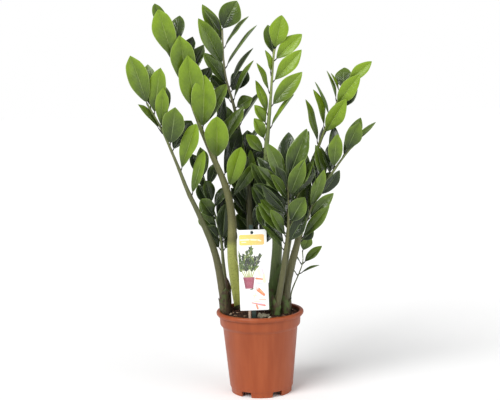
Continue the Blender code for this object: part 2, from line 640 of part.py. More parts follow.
clear_scene()
make_pot(finish_material("terracotta_plastic", (0.40, 0.098, 0.045), 0.45))
label_pieces, sockets = make_label(
    finish_material("label_card", (0.9, 0.9, 0.88), 0.5),
    finish_material("stake_plastic", (0.01, 0.02, 0.018), 0.4),
    finish_material("pale_wood", (0.5, 0.38, 0.28), 0.7),
)
sockets += make_fronds(
    finish_material("green_stem", (0.22, 0.25, 0.08), 0.45),
    finish_material("green_leaf", (0.16, 0.28, 0.03), 0.3),
    label_pieces,
)
make_soil(finish_material("potting_soil", (0.035, 0.02, 0.012), 0.95), sockets)
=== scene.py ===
"""A ZZ plant in its nursery pot: moulded pot, potting soil, plant label and ten fronds of glossy leaflets.

Metres, +Z up. The origin is under the middle of the pot, on the floor; -Y is the front.
"""

import math
import random

import bmesh
import bpy
from mathutils import Matrix, Vector, noise
from mathutils.bvhtree import BVHTree


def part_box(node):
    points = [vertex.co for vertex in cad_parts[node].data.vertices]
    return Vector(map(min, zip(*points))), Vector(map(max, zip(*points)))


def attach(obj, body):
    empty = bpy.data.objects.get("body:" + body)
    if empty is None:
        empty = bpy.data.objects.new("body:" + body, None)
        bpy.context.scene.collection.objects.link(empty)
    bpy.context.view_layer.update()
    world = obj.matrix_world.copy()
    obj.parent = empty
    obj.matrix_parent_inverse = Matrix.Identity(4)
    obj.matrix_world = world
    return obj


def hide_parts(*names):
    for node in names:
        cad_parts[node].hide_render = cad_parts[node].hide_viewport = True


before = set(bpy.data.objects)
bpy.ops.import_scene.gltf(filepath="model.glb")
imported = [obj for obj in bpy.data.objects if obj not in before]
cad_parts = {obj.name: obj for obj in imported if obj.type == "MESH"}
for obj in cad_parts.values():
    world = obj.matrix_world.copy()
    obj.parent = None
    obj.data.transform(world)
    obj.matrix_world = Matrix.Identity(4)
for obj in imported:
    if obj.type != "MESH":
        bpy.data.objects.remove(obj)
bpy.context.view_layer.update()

# ---------------------------------------------------------------- studio
# A pale, endless floor under an even white sky, with one large soft light high on the left and a weaker one
# on the right. The camera stands a little above the middle of the plant and is turned slightly on its axis.

FLOOR_HALF = 40.0
FLOOR_COLOUR = (0.98, 0.98, 0.98, 1.0)
SKY_LIGHT = 0.44
SKY_SEEN = 1.0
CAMERA_PLACE = Vector((-0.015, -1.9, 0.581))
CAMERA_PITCH = math.radians(84.15)
CAMERA_ROLL = math.radians(-1.3)
CAMERA_LENS = 69.2

scene = bpy.context.scene
scene.view_settings.view_transform = "Standard"

camera = bpy.data.objects.new("camera", bpy.data.cameras.new("camera"))
camera.data.lens = CAMERA_LENS
camera.matrix_world = (
    Matrix.Translation(CAMERA_PLACE)
    @ Matrix.Rotation(CAMERA_PITCH, 4, "X")
    @ Matrix.Rotation(CAMERA_ROLL, 4, "Z")
)
scene.collection.objects.link(camera)
scene.camera = camera

scene.world = bpy.data.worlds.new("white_sky")
scene.world.use_nodes = True
sky = scene.world.node_tree
sky_light = sky.nodes["Background"]
sky_light.inputs["Color"].default_value = (1, 1, 1, 1)
sky_light.inputs["Strength"].default_value = SKY_LIGHT
sky_seen = sky.nodes.new("ShaderNodeBackground")
sky_seen.inputs["Color"].default_value = (1, 1, 1, 1)
sky_seen.inputs["Strength"].default_value = SKY_SEEN
sky_choice = sky.nodes.new("ShaderNodeMixShader")
sky.links.new(sky.nodes.new("ShaderNodeLightPath").outputs["Is Camera Ray"], sky_choice.inputs[0])
sky.links.new(sky_light.outputs[0], sky_choice.inputs[1])
sky.links.new(sky_seen.outputs[0], sky_choice.inputs[2])
sky.links.new(sky_choice.outputs[0], sky.nodes["World Output"].inputs["Surface"])


def add_light(name, from_there, strength, spread):
    """A distant soft light, whose spread is how wide it looks in the sky."""
    light = bpy.data.objects.new(name, bpy.data.lights.new(name, "SUN"))
    light.data.energy = strength
    light.data.angle = math.radians(spread)
    light.matrix_world = (-from_there).to_track_quat("-Z", "Y").to_matrix().to_4x4()
    scene.collection.objects.link(light)


add_light("key_light", Vector((-0.9, -1.0, 1.1)), 2.75, 40)
add_light("fill_light", Vector((1.1, -0.9, 0.5)), 1.0, 50)


def new_object(name, bm):
    """Links what the bmesh holds as an object at the origin, shaded smooth but for its sharp edges."""
    mesh = bpy.data.meshes.new(name)
    bm.to_mesh(mesh)
    bm.free()
    mesh.shade_smooth()
    mesh.set_sharp_from_angle(angle=math.radians(40))
    obj = bpy.data.objects.new(name, mesh)
    scene.collection.objects.link(obj)
    return obj


class Nodes:
    """A short way to write shader nodes: each call adds one node, sets it and wires its inputs."""

    def __init__(self, tree):
        self.tree = tree

    def add(self, kind, settings=None, **inputs):
        node = self.tree.nodes.new(kind)
        for key, value in (settings or {}).items():
            setattr(node, key, value)
        for key, value in inputs.items():
            socket = node.inputs[int(key[1:])] if key[1:].isdigit() else node.inputs[key.replace("_", " ")]
            if isinstance(value, bpy.types.NodeSocket):
                self.tree.links.new(value, socket)
            else:
                socket.default_value = value
        return node

    def math(self, operation, a, b=0.0):
        return self.add("ShaderNodeMath", {"operation": operation}, _0=a, _1=b).outputs[0]

    def mix(self, share, a, b):
        return self.add("ShaderNodeMix", {"data_type": "RGBA"}, _0=share, _6=a, _7=b).outputs[2]

    def ramp(self, value, low, high, out_low=0.0, out_high=1.0):
        settings = {"interpolation_type": "SMOOTHSTEP"}
        node = self.add("ShaderNodeMapRange", settings, _0=value, _1=low, _2=high, _3=out_low, _4=out_high)
        return node.outputs[0]

    def noise(self, place, scale, detail=3.0, roughness=0.5):
        inputs = {"Vector": place, "Scale": scale, "Detail": detail, "Roughness": roughness}
        return self.add("ShaderNodeTexNoise", **inputs).outputs[0]

    def object_place(self, stretch=(1, 1, 1)):
        """Object coordinates, with what is drawn on them stretched along each axis."""
        place = self.add("ShaderNodeTexCoord").outputs["Object"]
        scaled = tuple(1 / share for share in stretch)
        return self.add("ShaderNodeMapping", None, Vector=place, Scale=scaled).outputs[0]

    def attribute(self, name):
        return self.add("ShaderNodeAttribute", {"attribute_name": name})


def new_material(name, roughness, **constants):
    """A material with its Principled shader, whose constant values are set on the shader's own sockets."""
    material = bpy.data.materials.new(name)
    material.use_nodes = True
    shader = material.node_tree.nodes["Principled BSDF"]
    shader.inputs["Roughness"].default_value = roughness
    for key, value in constants.items():
        shader.inputs[key.replace("_", " ")].default_value = value
    return material, Nodes(material.node_tree), shader


floor_mesh = bmesh.new()
bmesh.ops.create_grid(floor_mesh, x_segments=1, y_segments=1, size=FLOOR_HALF)
floor = new_object("floor", floor_mesh)
floor_material, _, floor_shader = new_material("pale_floor", roughness=0.9)
floor_shader.inputs["Base Color"].default_value = FLOOR_COLOUR
floor.data.materials.append(floor_material)

# ------------------------------------------------------------------- pot
# A thin-walled pot, injection moulded in terracotta-coloured plastic: a rolled rim, a collar with a step
# under it, a tapering wall, a raised floor with drain holes, and a foot ring with notches that let water out.

POT_WALL = 0.002
POT_SIDES = 144
RIM_HEIGHT = 0.009
RIM_LIP = 0.006
COLLAR_HEIGHT = 0.018
COLLAR_DRAFT = 0.001
COLLAR_STEP = 0.006
SHOULDER_HEIGHT = 0.006
STEP_LINE = 0.0006  # depth of the moulded line under the shoulder
POT_TAPER = 0.012
BASE_BEND = 0.004
FOOT_HEIGHT = 0.011
FOOT_INSET = 0.0025
FOOT_DRAFT = 0.0005
FOOT_WALL = 0.004
CENTRE_FOOT_RADIUS = 0.010
NOTCHES = 6
NOTCH_WIDTH = 0.021
NOTCH_ROUNDING = 0.0012
DRAIN_RADIUS = 0.005
DRAIN_INSET = 0.019
POT_COLOUR = (0.270, 0.050, 0.009, 1.0)
POT_PALE = (0.320, 0.068, 0.016, 1.0)
POT_DUST = (0.13, 0.060, 0.035, 1.0)

WELD = 0.000001  # corners nearer than this are merged
SEAM_WELD = 0.00001  # the same, where rounding moves them a little

pot_low, pot_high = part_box("pot")
POT_HEIGHT = pot_high.z
RIM_RADIUS = (pot_high.x - pot_low.x) / 2
COLLAR_RADIUS = RIM_RADIUS - RIM_LIP
NECK_RADIUS = COLLAR_RADIUS - COLLAR_STEP
BASE_RADIUS = NECK_RADIUS - POT_TAPER
FOOT_RADIUS = BASE_RADIUS - FOOT_INSET
COLLAR_FOOT = POT_HEIGHT - RIM_HEIGHT - COLLAR_HEIGHT
FLOOR_UNDERSIDE = FOOT_HEIGHT + POT_WALL / 2
FLOOR_TOP = FLOOR_UNDERSIDE + POT_WALL


def new_piece(name, bm, materials, stands_for=()):
    """An object that is part of the plant, its pot or its label."""
    obj = new_object(name, bm)
    for material in materials:
        obj.data.materials.append(material)
    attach(obj, "root")
    if stands_for:
        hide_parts(*stands_for)
    return obj


def set_bump(nodes, shader, height, distance):
    """Roughens the surface by a height from 0 to 1, which stands for the distance."""
    bump = nodes.add("ShaderNodeBump", None, Height=height, Distance=distance, Strength=1.0)
    nodes.tree.links.new(bump.outputs[0], shader.inputs["Normal"])


def arc(centre, radius, start, end, steps):
    """Points (radius, height) along an arc, its ends given in degrees from the outward direction."""
    angles = [math.radians(start + (end - start) * step / steps) for step in range(steps + 1)]
    return [(centre[0] + radius * math.cos(a), centre[1] + radius * math.sin(a)) for a in angles]


def turned(outline, sides):
    """An outline of (radius, height), turned once round the Z axis."""
    bm = bmesh.new()
    corners = [bm.verts.new((radius, 0, height)) for radius, height in outline]
    geom = corners + [bm.edges.new(pair) for pair in zip(corners, corners[1:])]
    bmesh.ops.spin(bm, geom=geom, axis=(0, 0, 1), angle=2 * math.pi, steps=sides, use_merge=True)
    bmesh.ops.remove_doubles(bm, verts=bm.verts[:], dist=WELD)
    bmesh.ops.recalc_face_normals(bm, faces=bm.faces[:])
    return bm


def cut_away(obj, cutters):
    """Cuts the helpers out of the object and removes them."""
    group = bpy.data.collections.new(obj.name + "_cutters")
    for cutter in cutters:
        group.objects.link(cutter)
    boolean = obj.modifiers.new("cut", "BOOLEAN")
    boolean.operand_type = "COLLECTION"
    boolean.collection = group
    shape = obj.evaluated_get(bpy.context.evaluated_depsgraph_get())
    obj.data = bpy.data.meshes.new_from_object(shape)
    obj.modifiers.clear()
    for cutter in cutters:
        bpy.data.objects.remove(cutter)
    bpy.data.collections.remove(group)
    cleaned = bmesh.new()
    cleaned.from_mesh(obj.data)
    bmesh.ops.remove_doubles(cleaned, verts=cleaned.verts[:], dist=SEAM_WELD)
    bmesh.ops.dissolve_degenerate(cleaned, edges=cleaned.edges[:], dist=SEAM_WELD)
    cleaned.to_mesh(obj.data)
    cleaned.free()


def pot_outline():
    """The pot's section, from under its middle, out and over the rim, to the middle of its floor."""
    rim_foot = POT_HEIGHT - RIM_HEIGHT
    lip = RIM_HEIGHT * 0.42
    shoulder_foot = COLLAR_FOOT - SHOULDER_HEIGHT
    ring_inside = FOOT_RADIUS - FOOT_WALL
    return [
        (0, 0.0004),
        (CENTRE_FOOT_RADIUS - 0.0006, 0),
        (CENTRE_FOOT_RADIUS, 0.0006),
        (CENTRE_FOOT_RADIUS, FLOOR_UNDERSIDE - 0.001),
        (CENTRE_FOOT_RADIUS + 0.001, FLOOR_UNDERSIDE),
        (ring_inside - 0.001, FLOOR_UNDERSIDE),
        (ring_inside, FLOOR_UNDERSIDE - 0.001),
        (ring_inside, 0.0005),
        (ring_inside + 0.0005, 0),
        (FOOT_RADIUS - 0.0005, 0),
        (FOOT_RADIUS, 0.0005),
        (FOOT_RADIUS + FOOT_DRAFT, FOOT_HEIGHT - BASE_BEND),
        *arc((BASE_RADIUS - BASE_BEND * 0.5, FOOT_HEIGHT + BASE_BEND * 0.5), BASE_BEND * 0.5, -60, 0, 5),
        (NECK_RADIUS - STEP_LINE, shoulder_foot - 0.0012),
        (NECK_RADIUS - STEP_LINE * 0.3, shoulder_foot - 0.0004),
        (NECK_RADIUS + 0.0004, shoulder_foot + 0.0004),
        (COLLAR_RADIUS - COLLAR_DRAFT - 0.0008, COLLAR_FOOT - 0.0012),
        (COLLAR_RADIUS - COLLAR_DRAFT, COLLAR_FOOT + 0.0006),
        (COLLAR_RADIUS, rim_foot - 0.0004),
        (COLLAR_RADIUS + 0.0006, rim_foot),
        (RIM_RADIUS - 0.0020, rim_foot),
        *arc((RIM_RADIUS - lip, rim_foot + lip), lip, -62, 0, 6),
        *arc((RIM_RADIUS - lip, POT_HEIGHT - lip), lip, 0, 90, 8),
        *arc((COLLAR_RADIUS - POT_WALL + 0.002, POT_HEIGHT - 0.002), 0.002, 100, 180, 5),
        (COLLAR_RADIUS - COLLAR_DRAFT - POT_WALL, COLLAR_FOOT),
        (NECK_RADIUS - POT_WALL, shoulder_foot),
        (BASE_RADIUS - POT_WALL, FOOT_HEIGHT + BASE_BEND),
        (BASE_RADIUS - POT_WALL - BASE_BEND, FLOOR_TOP),
        (0, FLOOR_TOP),
    ]


def make_pot_material():
    """Slightly streaky moulded plastic, with fine dust near the rim and round the foot."""
    material, nodes, shader = new_material("terracotta_plastic", roughness=0.42, Specular_IOR_Level=0.40)
    streaks = nodes.noise(nodes.object_place((0.02, 0.02, 0.25)), 1.0, detail=3, roughness=0.6)
    colour = nodes.mix(nodes.ramp(streaks, 0.35, 0.72), POT_COLOUR, POT_PALE)
    specks = nodes.noise(nodes.object_place(), 420.0, detail=2, roughness=0.6)
    height = nodes.add("ShaderNodeSeparateXYZ", None, Vector=nodes.object_place()).outputs[2]
    near_rim = nodes.ramp(height, POT_HEIGHT - 0.03, POT_HEIGHT, 0.0, 0.35)
    near_foot = nodes.ramp(height, 0.02, 0.0, 0.0, 0.25)
    dust = nodes.math("MULTIPLY", nodes.ramp(specks, 0.58, 0.72), nodes.math("ADD", near_rim, near_foot))
    nodes.tree.links.new(nodes.mix(dust, colour, POT_DUST), shader.inputs["Base Color"])
    grain = nodes.noise(nodes.object_place(), 900.0, detail=2, roughness=0.5)
    patches = nodes.noise(nodes.object_place(), 26.0, detail=3, roughness=0.6)
    nodes.tree.links.new(nodes.ramp(patches, 0.3, 0.75, 0.36, 0.50), shader.inputs["Roughness"])
    set_bump(nodes, shader, nodes.math("ADD", grain, nodes.math("MULTIPLY", streaks, 3.0)), 0.00006)
    return material


def make_pot():
    """The turned shell, with notches cut through its foot ring and drain holes through its floor."""
    cutters = []
    for index in range(NOTCHES):
        turn = Matrix.Rotation(2 * math.pi * (index + 0.5) / NOTCHES, 4, "Z")
        notch = bmesh.new()
        size = Matrix.Diagonal((NOTCH_WIDTH, FOOT_WALL * 4, FOOT_HEIGHT * 2, 1))
        bmesh.ops.create_cube(notch, size=1, matrix=turn @ Matrix.Translation((0, FOOT_RADIUS, 0)) @ size)
        bmesh.ops.bevel(
            notch,
            geom=notch.edges[:],
            offset=NOTCH_ROUNDING,
            segments=3,
            profile=0.5,
            affect="EDGES",
            material=-1,
        )
        cutters.append(new_object(f"notch_cutter_{index + 1}", notch))
        drain = bmesh.new()
        bmesh.ops.create_cone(
            drain,
            cap_ends=True,
            segments=24,
            radius1=DRAIN_RADIUS,
            radius2=DRAIN_RADIUS,
            depth=0.02,
            matrix=turn @ Matrix.Translation((0, FOOT_RADIUS - FOOT_WALL - DRAIN_INSET, FOOT_HEIGHT)),
        )
        cutters.append(new_object(f"drain_cutter_{index + 1}", drain))
    shell = turned(pot_outline(), POT_SIDES)
    pot = new_piece("pot_shell", shell, [make_pot_material()], ["pot"])
    cut_away(pot, cutters)
    pot.data.shade_smooth()
    pot.data.set_sharp_from_angle(angle=math.radians(35))


make_pot()

# ------------------------------------------------------------------ soil
# Dark peaty potting soil, filled almost to the rim: a lumpy surface strewn with crumbs, bark chips and
# fibres, some of them pale. The hidden part is a plain fill inside the pot.

SOIL_GAP = 0.0003
SOIL_BELOW_RIM = 0.005
SOIL_MOUND = 0.005
SOIL_RINGS = 46
SOIL_SIDES = 160
SOIL_LUMPS = 0.0035  # rise and fall of the surface
CRUMBS = 1500
CHIPS = 150
CRUMB_SIZES = (0.0008, 0.0026)
CHIP_SIZES = ((0.003, 0.009), (0.0015, 0.0035), (0.0008, 0.0020))
CHIP_TILT = 0.5
FIBRES = 150
FIBRE_RINGS = 6
FIBRE_RADIUS = 0.00022
FIBRE_STEP = 0.0016  # between the rings of a fibre
FIBRE_TONE = 0.72
SOIL_RADIUS = COLLAR_RADIUS - COLLAR_DRAFT - POT_WALL - SOIL_GAP
SOIL_EDGE_TOP = POT_HEIGHT - SOIL_BELOW_RIM
PEAT = (0.016, 0.009, 0.006, 1.0)
PEAT_PALE = (0.070, 0.034, 0.022, 1.0)
BARK = (0.15, 0.062, 0.036, 1.0)
CHIP_PALE = (0.50, 0.34, 0.22, 1.0)

# Larger pieces on the surface: x, y, size along each axis, turn in degrees and colour.
LUMPS = [
    (0.006, -0.060, (0.025, 0.015, 0.009), 8, (0.20, 0.18, 0.125)),
    (0.018, -0.064, (0.008, 0.004, 0.004), 30, (0.50, 0.42, 0.30)),
    (-0.048, -0.038, (0.010, 0.006, 0.004), -20, (0.26, 0.17, 0.10)),
    (-0.058, -0.028, (0.007, 0.004, 0.003), 50, (0.44, 0.34, 0.23)),
    (-0.030, -0.046, (0.007, 0.004, 0.003), 15, (0.34, 0.23, 0.14)),
    (0.046, -0.052, (0.008, 0.005, 0.003), -35, (0.18, 0.09, 0.05)),
]

chance = random.Random(7)


def soil_height(x, y):
    """The surface's height: a low mound with lumps, flat where it meets the wall."""
    share = min(math.hypot(x, y) / SOIL_RADIUS, 1.0)
    mound = SOIL_EDGE_TOP + SOIL_MOUND * (1 - share**2)
    rough = noise.fractal(Vector((x, y, 0)) * 90, 0.6, 2.0, 4) + 0.6 * noise.noise(Vector((x, y, 1)) * 260)
    return mound + SOIL_LUMPS * 0.5 * rough * (1 - share**12) - 0.0005


def make_soil_material():
    """Peat, bark and pale chips are told apart by the tone that each piece carries."""
    material, nodes, shader = new_material("potting_soil", roughness=0.95, Specular_IOR_Level=0.2)
    tone = nodes.attribute("tone").outputs["Fac"]
    fine = nodes.noise(nodes.object_place(), 650.0, detail=4, roughness=0.7)
    broad = nodes.noise(nodes.object_place(), 60.0, detail=3, roughness=0.6)
    paleness = nodes.math("MULTIPLY", nodes.ramp(fine, 0.35, 0.75), nodes.ramp(broad, 0.3, 0.7))
    peat = nodes.mix(paleness, PEAT, PEAT_PALE)
    bark = nodes.mix(nodes.ramp(tone, 0.2, 0.6), peat, BARK)
    colour = nodes.mix(nodes.ramp(tone, 0.7, 1.0), bark, CHIP_PALE)
    nodes.tree.links.new(colour, shader.inputs["Base Color"])
    set_bump(nodes, shader, fine, 0.0008)
    return material


def new_toned_mesh():
    """A mesh whose faces carry a tone: 0 for peat, about 0.5 for bark and 1 for pale wood."""
    bm = bmesh.new()
    bm.faces.layers.float.new("tone")
    return bm


def set_tone(bm, faces, value):
    """Gives the faces their tone."""
    layer = bm.faces.layers.float["tone"]
    for face in faces:
        face[layer] = value


def make_soil(material):
    """The fill, a solid of its own whose side and floor lie just inside the pot's."""
    steps = [SOIL_RADIUS * (index / SOIL_RINGS) for index in range(SOIL_RINGS + 1)]
    wall = [
        (SOIL_RADIUS, COLLAR_FOOT),
        (NECK_RADIUS - POT_WALL - SOIL_GAP, COLLAR_FOOT - SHOULDER_HEIGHT),
        (BASE_RADIUS - POT_WALL - SOIL_GAP, FOOT_HEIGHT + BASE_BEND),
        (BASE_RADIUS - POT_WALL - BASE_BEND - SOIL_GAP, FLOOR_TOP + SOIL_GAP),
        (0, FLOOR_TOP + SOIL_GAP),
    ]
    bm = turned([(radius, SOIL_EDGE_TOP + 0.001) for radius in steps] + wall, SOIL_SIDES)
    for vert in bm.verts:
        if vert.co.z > SOIL_EDGE_TOP:
            vert.co.z = soil_height(vert.co.x, vert.co.y)
    new_piece("soil_fill", bm, [material], ["soil"])


def spot_on_soil(reach):
    """A random place on the surface, within a share of the soil's radius."""
    angle = chance.uniform(0, 2 * math.pi)
    radius = SOIL_RADIUS * reach * math.sqrt(chance.random())
    x, y = radius * math.cos(angle), radius * math.sin(angle)
    return Vector((x, y, soil_height(x, y)))


def any_turn():
    """A random heading with a small tilt."""
    heading = Matrix.Rotation(chance.uniform(0, 2 * math.pi), 4, "Z")
    return heading @ Matrix.Rotation(chance.uniform(-CHIP_TILT, CHIP_TILT), 4, "X")


def make_crumbs(material):
    """Crumbs of peat and chips of bark and wood, each a roughened block or ball with only a few faces."""
    bm = new_toned_mesh()
    for index in range(CRUMBS + CHIPS):
        is_chip = index >= CRUMBS
        spot = spot_on_soil(0.96)
        if is_chip:
            size = Vector([chance.uniform(*sizes) for sizes in CHIP_SIZES])
        else:
            size = Vector([chance.uniform(*CRUMB_SIZES)] * 3)
        place = Matrix.Translation(spot) @ any_turn() @ Matrix.Diagonal((*size, 1))
        made = bmesh.ops.create_icosphere(bm, subdivisions=1, radius=0.6, matrix=place)["verts"]
        for vert in made:
            vert.co += Vector([chance.uniform(-0.22, 0.22) for _ in range(3)]) * min(size)
        faces = {face for vert in made for face in vert.link_faces}
        bright = chance.random()
        if is_chip:
            tone = 0.95 if bright > 0.86 else chance.uniform(0.3, 0.75)
        else:
            tone = 0.9 if bright > 0.985 else chance.uniform(0.0, 0.35)
        set_tone(bm, faces, tone)
    new_piece("soil_crumbs", bm, [material])


def make_lumps():
    """A few larger pieces that lie on the soil: a pale lump of grit, and chips of wood."""
    for number, (x, y, size, turn, colour) in enumerate(LUMPS, start=1):
        material, nodes, shader = new_material(f"lump_{number}", roughness=0.9, Specular_IOR_Level=0.25)
        grain = nodes.noise(nodes.object_place(), 380.0, detail=4, roughness=0.7)
        darker = tuple(0.45 * part for part in colour)
        mottled = nodes.mix(nodes.ramp(grain, 0.35, 0.65), (*darker, 1.0), (*colour, 1.0))
        nodes.tree.links.new(mottled, shader.inputs["Base Color"])
        set_bump(nodes, shader, grain, 0.0008)
        bm = bmesh.new()
        spot = Matrix.Translation((x, y, soil_height(x, y) + size[2] * 0.3))
        place = spot @ Matrix.Rotation(math.radians(turn), 4, "Z") @ Matrix.Diagonal((*size, 1))
        made = bmesh.ops.create_icosphere(bm, subdivisions=4, radius=0.5, matrix=place)["verts"]
        for vert in made:
            vert.co += vert.co.normalized() * 0.18 * size[2] * noise.noise(vert.co * 240)
            vert.co.z += 0.5 * size[2] * noise.noise(vert.co * 190)
        new_piece(f"soil_lump_{number}", bm, [material])


def make_fibres(material):
    """Thin curved fibres, each a bent tube of three sides lying on the surface."""
    bm = new_toned_mesh()
    for _ in range(FIBRES):
        spot = spot_on_soil(0.9)
        heading = chance.uniform(0, 2 * math.pi)
        rings = []
        for _ in range(FIBRE_RINGS):
            heading += chance.uniform(-0.5, 0.5)
            spot = spot + Vector((math.cos(heading), math.sin(heading), 0)) * FIBRE_STEP
            spot.z = soil_height(spot.x, spot.y) + 0.0008
            if math.hypot(spot.x, spot.y) < SOIL_RADIUS * 0.97:
                turn = Matrix.Rotation(heading, 4, "Z") @ Matrix.Rotation(math.pi / 2, 4, "Y")
                rings.append(Matrix.Translation(spot) @ turn)
        loops = [
            bmesh.ops.create_circle(bm, segments=3, radius=FIBRE_RADIUS, matrix=ring)["verts"]
            for ring in rings
        ]
        for lower, upper in zip(loops, loops[1:]):
            edges = {edge for vert in lower for edge in vert.link_edges if edge.other_vert(vert) in lower}
            edges |= {edge for vert in upper for edge in vert.link_edges if edge.other_vert(vert) in upper}
            set_tone(bm, bmesh.ops.bridge_loops(bm, edges=list(edges))["faces"], FIBRE_TONE)
    ends = [edge for edge in bm.edges if len(edge.link_faces) == 1]
    set_tone(bm, bmesh.ops.holes_fill(bm, edges=ends, sides=3)["faces"], FIBRE_TONE)
    new_piece("soil_fibres", bm, [material])


soil_material = make_soil_material()
make_soil(soil_material)
make_crumbs(soil_material)
make_fibres(soil_material)
make_lumps()

# ----------------------------------------------------------------- label
# A plain coated card, printed with a drawing of a potted plant, pegged through its hole to a flat moulded
# stake that is pushed into the soil, with a thin stick of pale wood beside it.

CARD_WIDTH = 0.056
CARD_HEIGHT = 0.158
CARD_THICKNESS = 0.0007
CARD_BOW = 0.0008  # by which the card's long edges bend back
CARD_CORNER = 0.0015
CARD_STRIPS = 14
CARD_LEAN = math.radians(-0.9)
CARD_HOLE_RADIUS = 0.003
CARD_HOLE_BELOW_TOP = 0.0055
CARD_ABOVE_SOIL = 0.017
STAKE_WIDTH = 0.008
STAKE_THICKNESS = 0.0025
STAKE_ABOVE_CARD = 0.009
STAKE_IN_SOIL = 0.040
STAKE_OFFSET = -0.0015
STAKE_POINT = 0.25  # share of the stake's width that is left at its foot
STICK_RADIUS = 0.003
STICK_HEIGHT = 0.12
STICK_IN_SOIL = 0.040
STICK_OFFSET = -0.010
FRAME_CARD_THICKNESS = 0.0012  # the stake and the stick stand behind the frame's plain card
HOLE_HEIGHT = CARD_HEIGHT / 2 - CARD_HOLE_BELOW_TOP
INK_LIFT = 0.000006  # of each layer of print
CARD_WHITE = (0.88, 0.88, 0.87, 1.0)
CARD_GREY = (0.836, 0.836, 0.8265, 1.0)
INK_WORN = (0.9, 0.9, 0.88, 1.0)

# What is printed, in metres across and up from the card's middle. The band's pale marks are (start, end,
# width).
BAND_BELOW_TOP = (0.0092, 0.0300)
BAND_WIDTH = 0.048
BAND_INSET = 0.003
BAND_STRIPS = 24
BAND_CORNER = 0.0012
BAND_CREAM = (0.96, 0.86, 0.62)
BAND_MARKS = [
    ((-0.0225, 0.0595), (-0.0060, 0.0600), 0.0034), ((-0.0020, 0.0598), (0.0080, 0.0590), 0.0032),
    ((0.0115, 0.0588), (0.0165, 0.0570), 0.0030), ((-0.0200, 0.0548), (-0.0120, 0.0550), 0.0020),
]
# The drawn plant's stalks are (lean in degrees, length).
DRAWN_MIDDLE = -0.0090
DRAWN_POT_TOP = -0.0135
DRAWN_POT_FOOT = -0.0360
DRAWN_POT_HALVES = (0.0076, 0.0112)  # at the foot and at the top
DRAWN_POT_FACETS = 12
DRAWN_SPREAD = 0.016
DRAWN_LEAVES = 8
DRAWN_STALKS = [(-27, 0.040), (-18, 0.046), (-9, 0.038), (-2, 0.044), (5, 0.052), (13, 0.036), (22, 0.042)]
DRAWN_STALK_GREEN = (0.36, 0.40, 0.08)
DRAWN_GREENS = [
    (0.016, 0.030, 0.010), (0.045, 0.085, 0.016), (0.095, 0.150, 0.030), (0.190, 0.250, 0.060),
    (0.022, 0.024, 0.018),
]
# Each brush mark is (start, end, width at the start, width at the end, colour).
BRUSH_MARKS = [
    ((0.0050, -0.0165), (0.0190, -0.0185), 0.0036, 0.0026, (0.78, 0.22, 0.08)),
    ((0.0200, -0.0080), (0.0210, -0.0230), 0.0040, 0.0060, (0.90, 0.76, 0.52)),
    ((0.0080, -0.0255), (0.0150, -0.0265), 0.0040, 0.0030, (0.62, 0.66, 0.76)),
    ((0.0085, -0.0385), (0.0190, -0.0490), 0.0078, 0.0050, (0.80, 0.22, 0.09)),
    ((0.0120, -0.0400), (0.0170, -0.0460), 0.0022, 0.0018, (0.86, 0.42, 0.20)),
    ((0.0040, -0.0345), (0.0075, -0.0370), 0.0030, 0.0030, (0.86, 0.58, 0.56)),
    ((-0.0050, -0.0640), (0.0200, -0.0700), 0.0018, 0.0034, (0.78, 0.24, 0.20)),
    ((0.0040, -0.0690), (0.0062, -0.0760), 0.0034, 0.0028, (0.78, 0.28, 0.14)),
    ((-0.0020, -0.0500), (0.0060, -0.0505), 0.0026, 0.0020, (0.84, 0.72, 0.56)),
    ((-0.0010, -0.0555), (0.0120, -0.0565), 0.0016, 0.0012, (0.66, 0.72, 0.78)),
    ((0.0100, -0.0585), (0.0215, -0.0590), 0.0018, 0.0022, (0.80, 0.46, 0.34)),
    ((0.0000, -0.0610), (0.0110, -0.0620), 0.0014, 0.0010, (0.84, 0.66, 0.44)),
    ((-0.0080, -0.0385), (-0.0020, -0.0365), 0.0012, 0.0024, (0.10, 0.12, 0.06)),
    ((0.0100, -0.0010), (0.0125, -0.0110), 0.0060, 0.0045, (0.90, 0.74, 0.62)),
    ((0.0170, 0.0010), (0.0195, -0.0075), 0.0032, 0.0028, (0.84, 0.60, 0.66)),
    ((0.0020, -0.0085), (0.0060, -0.0130), 0.0026, 0.0034, (0.72, 0.74, 0.80)),
    ((0.0125, -0.0300), (0.0195, -0.0325), 0.0030, 0.0036, (0.74, 0.78, 0.86)),
    ((-0.0015, -0.0575), (0.0035, -0.0450), 0.0012, 0.0016, (0.82, 0.70, 0.50)),
    ((0.0130, -0.0545), (0.0200, -0.0560), 0.0030, 0.0024, (0.88, 0.80, 0.62)),
    ((-0.0190, -0.0560), (-0.0100, -0.0565), 0.0010, 0.0008, (0.82, 0.66, 0.62)),
    ((0.0060, -0.0655), (0.0150, -0.0668), 0.0012, 0.0014, (0.60, 0.56, 0.78)),
]
STAKE_GREEN = (0.008, 0.022, 0.018, 1.0)
STAKE_WORN = (0.020, 0.045, 0.036, 1.0)
STICK_PALE = (0.52, 0.39, 0.30, 1.0)
STICK_DARK = (0.30, 0.20, 0.14, 1.0)

card_low, card_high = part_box("label_card")
CARD_FRAME = Matrix.Translation((card_low + card_high) / 2) @ Matrix.Rotation(CARD_LEAN, 4, "Y")


def card_back(x):
    """How far the bowed card lies behind its middle."""
    return CARD_BOW * (2 * x / CARD_WIDTH) ** 2 - CARD_BOW / 2


def cut_into_strips(bm):
    """Cuts the mesh along the card, so that it can bend."""
    for index in range(1, CARD_STRIPS):
        cut = (index / CARD_STRIPS - 0.5) * CARD_WIDTH
        everything = bm.verts[:] + bm.edges[:] + bm.faces[:]
        bmesh.ops.bisect_plane(bm, geom=everything, plane_co=(cut, 0, 0), plane_no=(1, 0, 0))


